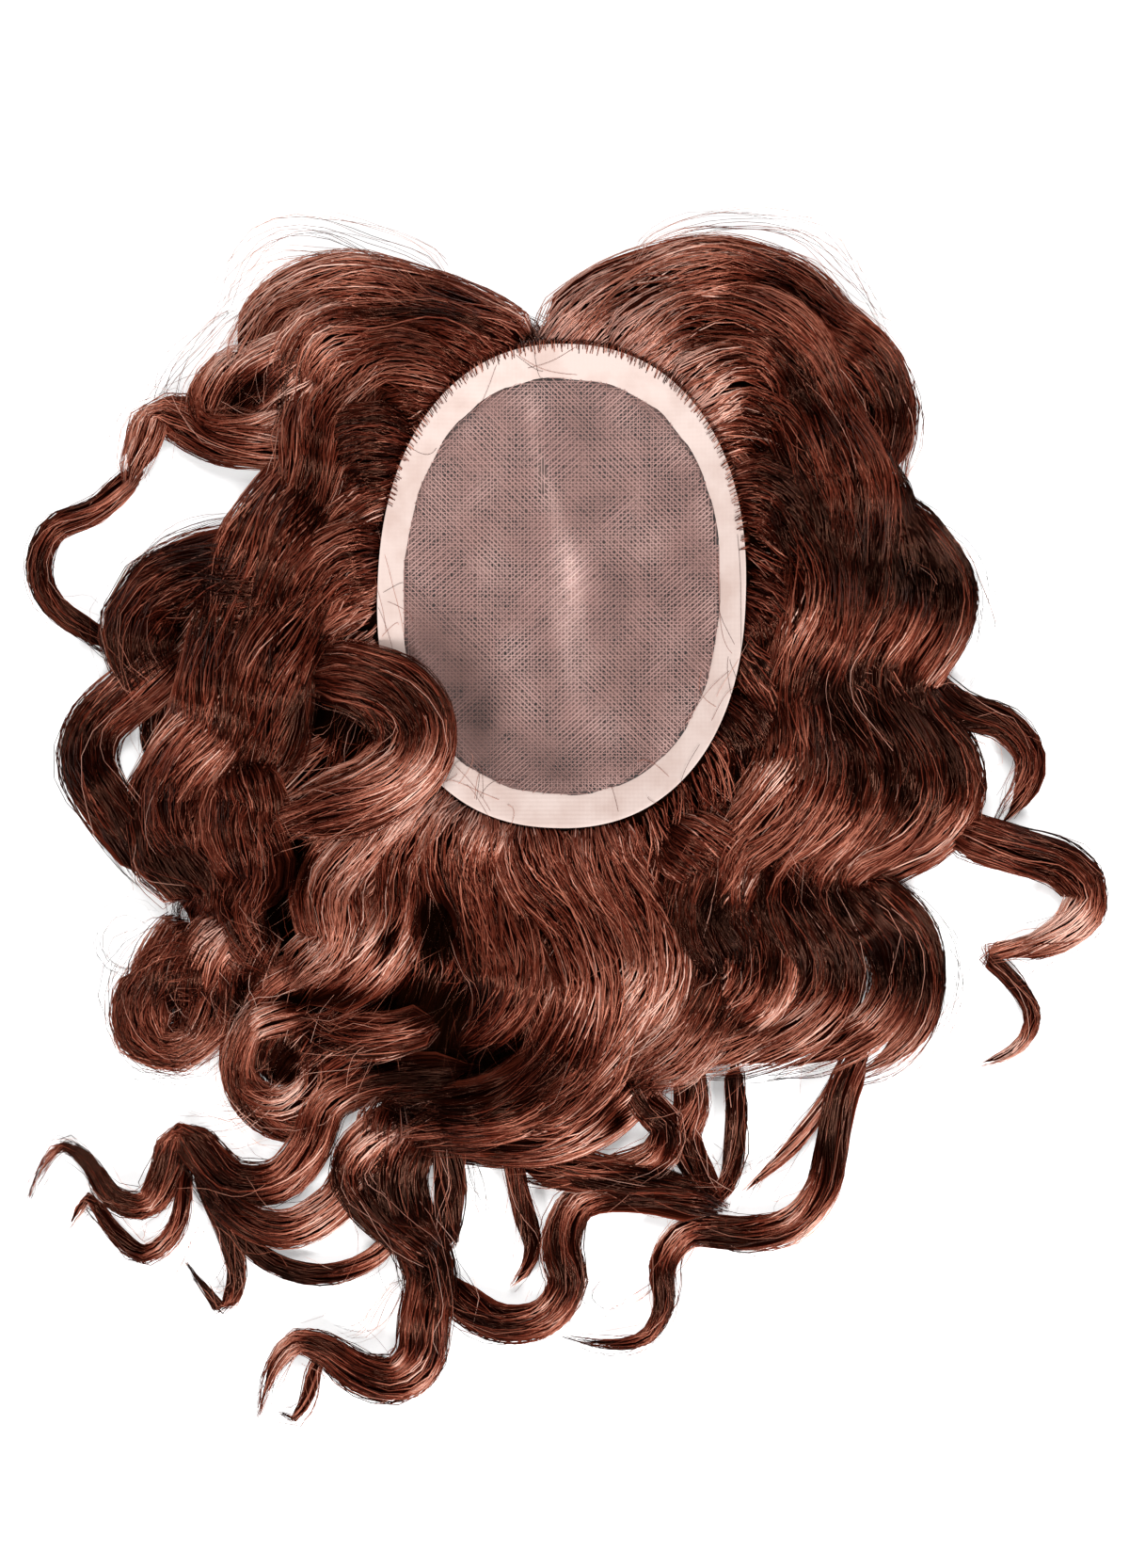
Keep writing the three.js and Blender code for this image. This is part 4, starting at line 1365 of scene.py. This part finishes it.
@dataclass(frozen=True)
class StrandStyle:
    """How the strands of a lock lie and look. Real hairs are a tenth as thick: these are coarser and fewer.

    Attributes:
        step: length of a strand's straight pieces on broad locks, and on the others.
        broad: width above which a lock is broad.
        pieces: fewest and most pieces of a strand.
        clump: width of a clump.
        late: share of the lock by which a strand may begin late.
        early: share of the lock by which it may end early.
        stray: how far strands lie from their clump around the section, in radians.
        twist: turn of the clumps along a lock in radians, and along a narrow one.
        narrow: width below which a lock is narrow.
        sway: swing of a clump in radians, and the least and greatest length of a swing.
        swing: the same for a single strand.
        frizz: least and greatest height of a strand's frizz.
        crimp: least and greatest length of its waves.
        roam: how far a roaming strand leaves its place, and the share of strands that roam.
        sink: how far the darkest hollows lower a strand, and a core.
        radius: least and greatest radius.
        tip: share of the radius left at the tip.
        uneven: spread of the tint between locks, between clumps and between strands.
        sheen: painted sheen, the tint that strands gain in the bright direction, and that all of them lose.
        shade: painted shade, the tint lost in the darkest hollows.
        fade: shares of the length between which a row's fade comes in.
    """

    step: tuple[float, float] = (8.5, 6.8)
    broad: float = 20.0
    pieces: tuple[int, int] = (7, 60)
    clump: float = 2.0
    late: float = 0.07
    early: float = 0.22
    stray: float = 0.22
    twist: tuple[float, float] = (0.7, 2.2)
    narrow: float = 16.0
    sway: tuple[float, float, float] = (0.13, 45.0, 95.0)
    swing: tuple[float, float, float] = (0.09, 40.0, 110.0)
    frizz: tuple[float, float] = (0.1, 0.5)
    crimp: tuple[float, float] = (32.0, 60.0)
    roam: tuple[float, float] = (4.0, 0.12)
    sink: tuple[float, float] = (8.0, 10.0)
    radius: tuple[float, float] = (0.18, 0.32)
    tip: float = 0.35
    uneven: tuple[float, float, float] = (0.05, 0.11, 0.12)
    sheen: tuple[float, float] = (0.58, 0.22)
    shade: float = 0.7
    fade: tuple[float, float] = (0.3, 0.9)


@dataclass(frozen=True)
class FlyawayStyle:
    """How single hairs leave a lock, with least and greatest values in millimetres.

    Attributes:
        run: length of a hair.
        drift: spread of their ends to either side.
        waves: how many waves a hair has.
        curl: height of the waves at its end.
        rise: height gained at its end.
        radius: at its start.
        tint: least, usual and greatest tint.
    """

    run: tuple[float, float] = (30.0, 110.0)
    drift: float = 9.0
    waves: tuple[float, float] = (0.5, 2.2)
    curl: tuple[float, float] = (1.0, 5.0)
    rise: tuple[float, float] = (0.0, 6.0)
    radius: tuple[float, float] = (0.07, 0.13)
    tint: tuple[float, float, float] = (0.1, 0.88, 1.0)


def sines(
    rng: np.random.Generator, gone: np.ndarray, lengths: Sequence[float], many: int, own: np.ndarray
) -> np.ndarray:
    """Sine waves along strands, each of a random length and start.

    Args:
        rng: random numbers.
        gone: distances along the lock, with a row for each strand.
        lengths: least and greatest length of a wave.
        many: how many different waves.
        own: which of them each strand follows.

    Returns:
        From -1 to 1 at each distance.
    """
    long = rng.uniform(*lengths, many)[own][:, None]
    begin = rng.uniform(0.0, 1.0, many)[own][:, None]
    return np.sin(TURN * (gone / long + begin))


@dataclass
class Mane:
    """All the hair: a dense bed, locks with their cores and strands, and what strays from them.

    Attributes:
        base: the base's shape.
        middle: middle of the base in the row's frame.
        seed: starts the random numbers.
        bright: direction of the strands that are lightest, in radians, for a painted sheen, since strands that
            run this way catch the lamps.
        spread: reach of the dense hair every 15 degrees from +X towards +Y.
        bed_share: share of that reach which the bed takes.
        profile: way out from the rim, 2 where the bed ends, and height of the bed there.
        tone: middle tint of each region's hair, partly painted light and shade for how the region lies to the
            lamps, and how strongly its painted sheen shows.
        under_tone: the same for the locks underneath.
        cover: strands to a millimetre of width, on drawn locks and on those underneath.
        style: how strands lie.
        fly: how single hairs leave the locks.
        rng: random numbers for what has no name of its own.
    """

    base: Oval
    middle: np.ndarray
    seed: int = 20
    bright: float = math.radians(38.0)
    spread: tuple[float, ...] = (
        146, 126, 126, 132, 130, 120, 104, 112, 132, 144, 140, 132,
        165, 178, 186, 200, 212, 216, 224, 206, 203, 188, 165, 152,
    )
    bed_share: float = 0.93
    profile: tuple[tuple[float, float], ...] = (
        (1.05, 29.0), (1.3, 16.0), (1.65, 8.0), (1.99, 1.5), (2.0, 0.3), (1.0, 0.3), (0.05, 0.3),
    )
    tone: Mapping[Region, tuple[float, float]] = field(default_factory=lambda: {
        Region.FRONT_LEFT: (0.54, 0.6),
        Region.FRONT_RIGHT: (0.58, 0.65),
        Region.LEFT: (0.26, 0.8),
        Region.RIGHT: (0.28, 1.15),
        Region.BACK: (0.71, 0.9),
        Region.ENDS: (0.33, 1.3),
    })
    under_tone: tuple[float, float] = (0.48, 0.8)
    cover: tuple[float, float] = (4.3, 1.0)
    style: StrandStyle = StrandStyle()
    fly: FlyawayStyle = FlyawayStyle()
    rng: np.random.Generator = field(init=False)

    def __post_init__(self) -> None:
        """Starts the random numbers."""
        self.rng = np.random.default_rng(self.seed)

    def reach(self, angle: np.ndarray) -> np.ndarray:
        """How far the dense hair spreads in a direction, read between the rows of the table.

        Args:
            angle: from +X towards +Y.

        Returns:
            Distances from the middle of the base.
        """
        rows = np.array(self.spread, float)
        row = np.mod(angle / TURN, 1.0) * len(rows)
        before = np.floor(row).astype(int) % len(rows)
        return mix(rows[before], rows[(before + 1) % len(rows)], smooth(0.0, 1.0, row - np.floor(row)))

    def build(self) -> None:
        """Makes the bed, the cores, and the strands of each region."""
        locks = [Lock(row, self.base) for row in LOCKS]
        under = [Lock(row, self.base) for row in self.under_rows()]
        wisps = [Lock(row, self.base) for row in WISPS]
        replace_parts(self.bed(), "hair")
        self.cores("hair_locks", locks)
        self.strands("hair_under", under, self.cover[1], self.under_tone)
        for region in Region:
            mine = [lock for lock in locks if lock.row.region is region]
            thin = [lock for lock in wisps if lock.row.region is region]
            self.strands(f"hair_{region.value}", mine, self.cover[0], self.tone[region], thin)
        self.flyaways(locks + under)
        self.stubs()
        self.strays()

    def bed(self, around: int = 160) -> bpy.types.Object:
        """The dense hair under everything, turned around the oval, near black as painted shade.

        Its profile runs under the bowl to the rim, then down to the floor where the hair ends. Beyond the
        rim the way out goes on from the rim to the spread of the hair.

        Args:
            around: points around the oval.

        Returns:
            The bed.
        """
        angle = np.linspace(0.0, TURN, around, endpoint=False)
        rim = self.base.rim(angle)
        far = np.linalg.norm(rim, axis=-1)
        spread = self.reach(np.arctan2(rim[:, 1], rim[:, 0]))[:, None]
        ends = rim / far[:, None] * spread * self.bed_share
        hidden = np.linspace(0.05, 1.0, 8)
        slope, fall = np.array(self.profile).T
        out = np.concatenate([hidden, slope])
        high = np.concatenate([self.base.bowl(hidden) - 2.0, fall])
        inner = np.minimum(out, 1.0)[:, None, None] * rim
        spot = inner + np.maximum(out - 1.0, 0.0)[:, None, None] * (ends - rim)
        web = Web()
        rings = raised(spot, np.broadcast_to(high[:, None], spot.shape[:2]))
        web.add(rings[None], skin_map(len(out), around))
        # Near-black streaks: painted shade of the deep hair that shows between the locks.
        finish = ShadedDenseHair(across=(420.0, 6.0), streaks=("#020000", "#0c0301", "#1a0704"))
        return web.piece("hair_bed", finish, "auburn_hair", self.middle)

    def under_rows(self, count: int = 46, lean: float = 0.42, wave: float = 70.0) -> list[LockRow]:
        """Plain wavy locks that leave the rim all around and fill the spread under the drawn ones.

        Args:
            count: how many.
            lean: how far they turn to the back, in radians.
            wave: length of a wave.

        Returns:
            Their rows.
        """
        rows = []
        share = np.linspace(0.0, 1.0, 7)
        for i in range(count):
            angle = TURN * (i + 0.5) / count
            start = self.base.rim(np.array(angle)) * 0.9
            to = angle + lean * math.sin(-0.5 * np.pi - angle)
            end = np.array([math.cos(to), math.sin(to)]) * float(self.reach(np.array(to))) * 0.95
            way = end - start
            square = np.array([-way[1], way[0]]) / np.linalg.norm(way)
            sway = 6.0 * np.sin(TURN * (share * np.linalg.norm(way) / wave + self.rng.uniform()))
            points = start + way * share[:, None] + square * (sway * smooth(0.0, 0.3, share))[:, None]
            via = tuple((float(x), float(y)) for x, y in points)
            rows.append(LockRow(f"under {i}", Region.BACK, 26, 20, 19, 6, via, settle=1.0))
        return rows

    def cores(
        self, name: str, locks: Sequence[Lock], sides: int = 12, fill: tuple[float, float] = (0.93, 0.6)
    ) -> None:
        """A closed tube inside each lock, dark as painted shade: ellipses across its curve, a little smaller
        than the lock.

        Args:
            name: the piece's name.
            locks: locks to fill.
            sides: corners of a section.
            fill: shares of the lock's width and of its thickness.
        """
        web = Web()
        turn = TURN * np.arange(sides) / sides
        for lock in locks:
            length = max(8, round(lock.long / 6.0))
            along = np.broadcast_to(np.linspace(0.01, 0.97, length)[:, None], (length, sides))
            half, thick = lock.at(along)[5:] * smooth(0.0, 0.1, along) * smooth(0.98, 0.84, along)
            slim = 0.75 if lock.row.layer is Layer.OVER else 1.0
            across = slim * fill[0] * half * np.cos(turn)
            rings = lock.place(along, across, slim * fill[1] * thick * np.sin(turn))
            sink = self.style.sink[1] * self.dark(rings[..., 0], rings[..., 1])
            rings[..., 2] -= np.minimum(sink, rings[..., 2] - 0.5)
            web.add(rings[None], skin_map(length, sides))
        web.piece(name, ShadedDenseHair(rim=0.42), "auburn_hair", self.middle)

    @staticmethod
    def dark(x: np.ndarray, y: np.ndarray) -> np.ndarray:
        """How dark the hollows make the hair at points: painted shade, which also sinks and thins it."""
        return np.max([hollow.at(x, y) for hollow in HOLLOWS], axis=0)

    @staticmethod
    def parted(dark: np.ndarray) -> np.ndarray:
        """Share of a strand's thickness left in hollows that dark: the deepest have no strands over them."""
        return 1.0 - 0.97 * smooth(0.55, 0.95, dark)

    def lay(
        self, lock: Lock, count: int, tone: tuple[float, float], thin: float = 1.0, wild: float = 0.0
    ) -> tuple[np.ndarray, np.ndarray, np.ndarray]:
        """Strands on the upper side of a lock, in clumps that close up towards the tip and slowly turn.

        A strand stays at its clump's angle around the section, plus a twist along the lock and some frizz.
        Its tint carries painted light and shade: lighter where it runs in the bright direction (a painted
        sheen), near the crests of its waves and at the lock's edges, and darker in hollows.

        Args:
            lock: the lock they lie on.
            count: how many.
            tone: middle tint, and how strongly the painted sheen shows.
            thin: share of a full strand's thickness.
            wild: how far a strand wanders from its place, in millimetres.

        Returns:
            Lines, radii and tints.
        """
        style = self.style
        rng = np.random.default_rng([self.seed, zlib.crc32(lock.row.name.encode())])
        wide = lock.row.wide
        each = np.arange(count)
        step = style.step[0] if wide > style.broad else style.step[1]
        length = int(np.clip(round(lock.long / step), *style.pieces)) + 1
        clumps = max(3, round(wide / style.clump))
        clump = rng.integers(0, clumps, count)
        even = np.linspace(-0.97, 0.97, clumps) + rng.uniform(-0.4, 0.4, clumps) / clumps
        home = np.arccos(np.clip(even[clump] + rng.normal(0.0, 0.05, count), -0.99, 0.99))[:, None]
        start = rng.uniform(0.0, style.late, count)[:, None]
        stop = 1.0 - style.early * rng.uniform(0.0, 1.0, count)[:, None] ** 2
        along = mix(start, stop, np.linspace(0.0, 1.0, length))
        stray = rng.normal(0.0, style.stray, count)[:, None]
        twist = rng.choice([-1.0, 1.0]) * style.twist[int(wide < style.narrow)]
        gone = along * lock.long
        sway = style.sway[0] * sines(rng, gone, style.sway[1:], clumps, clump)
        own = sines(rng, gone, style.swing[1:], count, each)
        turn = home + stray * mix(1.0, 0.5, along) + twist * (along - 0.5) + sway + style.swing[0] * own
        depth = rng.normal(0.98, 0.09, clumps)[clump][:, None] + rng.normal(0.0, 0.04, count)[:, None]
        depth = depth + 0.1 * np.maximum(0.0, 1.0 - (stray / 0.3) ** 2)
        frizz = rng.uniform(*style.frizz, count)[:, None] * sines(rng, gone, style.crimp, count, each)
        half, thick = lock.at(along)[5:]
        wander = wild + style.roam[0] * (rng.uniform(0.0, 1.0, count) < style.roam[1])[:, None]
        across = half * np.minimum(depth, 1.04) * np.cos(turn) + wander * own * along
        lines = lock.place(along, across + frizz, thick * depth * np.sin(turn) + frizz)
        # Painted shade of the hollows, which also lowers and thins the strands.
        dark = np.zeros(along.shape)
        if lock.row.layer is Layer.UNDER:
            dark = self.dark(lines[..., 0], lines[..., 1])
        lines[..., 2] -= np.minimum(style.sink[0] * dark, lines[..., 2] - lock.floor)
        # The lock's two edges: strands there are thinner, and lighter as painted light coming through them.
        edge = np.cos(turn) ** 6
        taper = mix(1.0, style.tip, smooth(0.6, 1.0, along))
        radius = thin * rng.uniform(*style.radius, count)[:, None] * taper
        radius = radius * (1.0 - 0.35 * edge) * self.parted(dark)
        per_lock, per_clump, per_strand = style.uneven
        tint = tone[0] + lock.row.light + rng.normal(0.0, per_lock)
        tint = tint + rng.normal(0.0, per_clump, clumps)[clump] + rng.normal(0.0, per_strand, count)
        # Painted sheen: strands that run in the bright direction are tinted lighter, and all lose a little.
        flow = np.arctan2(np.gradient(lines[..., 1], axis=1), np.gradient(lines[..., 0], axis=1))
        gain, loss = style.sheen
        sheen = tone[1] * (gain * (0.5 + 0.5 * np.cos(2.0 * (flow - self.bright))) ** 3 - loss)
        # Painted light and shade along the lock's up and down waves: lighter near each crest, darker near each
        # trough.
        wave = 0.1 * np.sin(TURN * gone / lock.bounce[1] + 0.5)
        tint = tint[:, None] + sheen + wave + 0.1 * edge - style.shade * dark
        # Painted shade towards the tip, by the row's fade; a negative fade lightens it.
        tint -= lock.row.fade * smooth(*style.fade, along)
        return lines, radius, tint

    def strands(
        self, name: str, locks: Sequence[Lock], cover: float, tone: tuple[float, float],
        loose: Sequence[Lock] = (),
    ) -> None:
        """Strands of several locks in one piece.

        Args:
            name: the piece's name.
            locks: locks to cover.
            cover: strands for each millimetre of a lock's width.
            tone: middle tint, and how strongly the painted sheen shows.
            loose: thin locks with few strands.
        """
        web = Web()
        for lock in locks:
            web.add_tubes(*self.lay(lock, max(12, round(cover * lock.row.wide)), tone))
        for lock in loose:
            web.add_tubes(*self.lay(lock, max(7, round(lock.row.wide)), tone, thin=0.4, wild=4.5))
        web.piece(name, StrandHair(), "auburn_hair", self.middle)

    def flyaways(self, locks: Sequence[Lock], each: int = 10) -> None:
        """Single hairs that follow a lock for a way and drift off it, by a power of the way gone.

        Args:
            locks: locks they leave.
            each: hairs for each lock.
        """
        rng = self.rng
        fly = self.fly
        web = Web()
        share = np.linspace(0.0, 1.0, 11)
        for lock in locks:
            run = np.minimum(rng.uniform(*fly.run, each) / lock.long, 0.9)
            start = rng.uniform(0.05, 1.0, each) * (1.0 - run)
            along = start[:, None] + run[:, None] * share
            half, thick = lock.at(along)[5:]
            turn = rng.uniform(0.0, np.pi, each)[:, None]
            drift = rng.normal(0.0, fly.drift, each)[:, None] * share**1.8
            waves = rng.uniform(*fly.waves, each)[:, None] * share + rng.uniform(0.0, 1.0, each)[:, None]
            curl = rng.uniform(*fly.curl, each)[:, None] * np.sin(TURN * waves) * share
            rise = rng.uniform(*fly.rise, each)[:, None] * share
            lines = lock.place(along, half * np.cos(turn) + drift + curl, thick * np.sin(turn) + rise)
            radius = rng.uniform(*fly.radius, each)[:, None] * mix(1.0, 0.6, share)
            radius = radius * self.parted(self.dark(lines[..., 0], lines[..., 1]))
            web.add_tubes(lines, radius, rng.triangular(*fly.tint, each))
        web.piece("hair_flyaways", StrandHair(), "auburn_hair", self.middle)

    def over_rim(
        self, name: str, angle: np.ndarray, out: np.ndarray, rise: np.ndarray, radius: float,
        tint: np.ndarray,
    ) -> None:
        """Hairs that come up over the rim and lie on the band.

        Args:
            name: the piece's name.
            angle: around the oval, for each point of each hair.
            out: share of the way out, for each point of each hair.
            rise: height above the wall, along a hair.
            radius: of a hair.
            tint: of each hair.
        """
        lines = raised(self.base.rim(angle) * out[..., None], self.base.bowl(np.minimum(out, 1.0)) + rise)
        web = Web()
        web.add_tubes(lines, np.full(out.shape, radius), tint)
        web.piece(name, StrandHair(), "auburn_hair", self.middle)

    def stubs(self, count: int = 300, span: tuple[float, float] = (8.0, 164.0)) -> None:
        """Short hair ends that come over the front rim on to the band, side by side like a comb.

        Args:
            count: how many.
            span: first and last direction, in degrees.
        """
        rng = self.rng
        angle = np.radians(np.linspace(*span, count) + rng.normal(0.0, 0.25, count))[:, None]
        share = np.linspace(0.0, 1.0, 5)
        out = mix(1.03, 1.0 - rng.uniform(0.012, 0.038, count)[:, None], share)
        slant = rng.normal(0.0, 0.006, count)[:, None] * share
        rise = mix(-2.5, 1.0, smooth(0.0, 0.5, share))
        self.over_rim("edge_stubs", angle + slant, out, rise, 0.16, rng.triangular(0.04, 0.42, 0.92, count))

    def strays(self) -> None:
        """Loose hairs lying across the band: each comes over the rim and bends along the bowl."""
        rng = self.rng
        # First and last direction in degrees, and how many hairs.
        near = [(222.0, 262.0, 13), (285.0, 355.0, 13), (168.0, 200.0, 6), (60.0, 150.0, 6)]
        angle = np.radians(np.concatenate([rng.uniform(*row) for row in near]))[:, None]
        share = np.linspace(0.0, 1.0, 14)
        out = mix(1.04, rng.uniform(0.8, 0.97, len(angle))[:, None], np.sin(0.5 * np.pi * share))
        bend = rng.normal(0.0, 0.22, angle.shape) * share + rng.normal(0.0, 0.1, angle.shape) * share**3
        rise = mix(-2.5, 0.95, smooth(0.0, 0.3, share))
        tint = rng.permutation(np.linspace(0.06, 0.84, len(angle)))
        self.over_rim("stray_hairs", angle + bend, out, rise, 0.07, tint)


@dataclass(frozen=True)
class Lamp:
    """A soft square light aimed at the middle of the object.

    Attributes:
        name: what it is called.
        spot: where it is, in metres.
        size: its side, in metres.
        power: in watts.
        colour: of its light.
    """

    name: str
    spot: tuple[float, float, float]
    size: float
    power: float
    colour: str = "#ffffff"

    def build(self) -> None:
        """Hangs the light and turns it to the object."""
        light = bpy.data.lights.new(self.name, "AREA")
        light.size = self.size
        light.energy = self.power
        light.color = linear(self.colour)[:3]
        lamp = bpy.data.objects.new(self.name, light)
        lamp.location = self.spot
        lamp.rotation_euler = (-Vector(self.spot)).to_track_quat("-Z", "Y").to_euler()
        bpy.context.scene.collection.objects.link(lamp)


@dataclass
class Studio:
    """The pale floor, soft lights and camera.

    Attributes:
        aim: where the camera looks straight down, in metres.
        tall: height of the picture at the object, in metres.
        lens: of the camera, in millimetres.
        sensor: width of its sensor, in millimetres.
        sky: strength of the white light from all around.
        ground: half the floor's side, in metres.
        lamps: the lights.
    """

    aim: tuple[float, float, float] = (-0.0004, 0.0193, 0.022)
    tall: float = 0.6
    lens: float = 100.0
    sensor: float = 36.0
    sky: float = 0.06
    ground: float = 9.0
    lamps: tuple[Lamp, ...] = (
        Lamp("right softbox", (0.82, -1.12, 1.25), 0.42, 41.0),
        Lamp("left softbox", (-0.95, -0.9, 1.3), 0.42, 22.0),
        Lamp("front softbox", (0.1, 0.9, 1.9), 0.8, 36.0),
    )

    def build(self) -> None:
        """Sets up the stage."""
        self.floor()
        for lamp in self.lamps:
            lamp.build()
        world = bpy.data.worlds.new("pale room")
        world.use_nodes = True
        tree = world.node_tree
        connect(tree, tree.nodes["Background"], {"Color": linear("#ffffff"), "Strength": self.sky})
        bpy.context.scene.world = world
        bpy.context.scene.view_settings.view_transform = "Standard"
        self.camera()

    def floor(self) -> None:
        """A large square under the object."""
        mesh = bpy.data.meshes.new("floor")
        corners = [(x * self.ground, y * self.ground, 0.0) for x, y in ((-1, -1), (1, -1), (1, 1), (-1, 1))]
        mesh.from_pydata(corners, [], [(0, 1, 2, 3)])
        mesh.materials.append(PaleFloor().material())
        floor = bpy.data.objects.new("floor", mesh)
        bpy.context.scene.collection.objects.link(floor)

    def camera(self) -> None:
        """A camera that looks straight down with the front edge of the base at the top."""
        data = bpy.data.cameras.new("camera")
        data.lens = self.lens
        data.sensor_width = self.sensor
        camera = bpy.data.objects.new("camera", data)
        x, y, z = self.aim
        camera.location = (x, y, z + self.tall * self.lens / self.sensor)
        bpy.context.scene.collection.objects.link(camera)
        bpy.context.scene.camera = camera


def main() -> None:
    """Builds the topper and its stage."""
    logging.basicConfig(level=logging.INFO, format="%(name)s: %(message)s")
    base = Oval()
    middle = base.middle()
    NetPanel(base, middle).build()
    FilmBand(base, middle).build()
    Mane(base, middle).build()
    Studio().build()


if __name__ == "__main__":
    main()
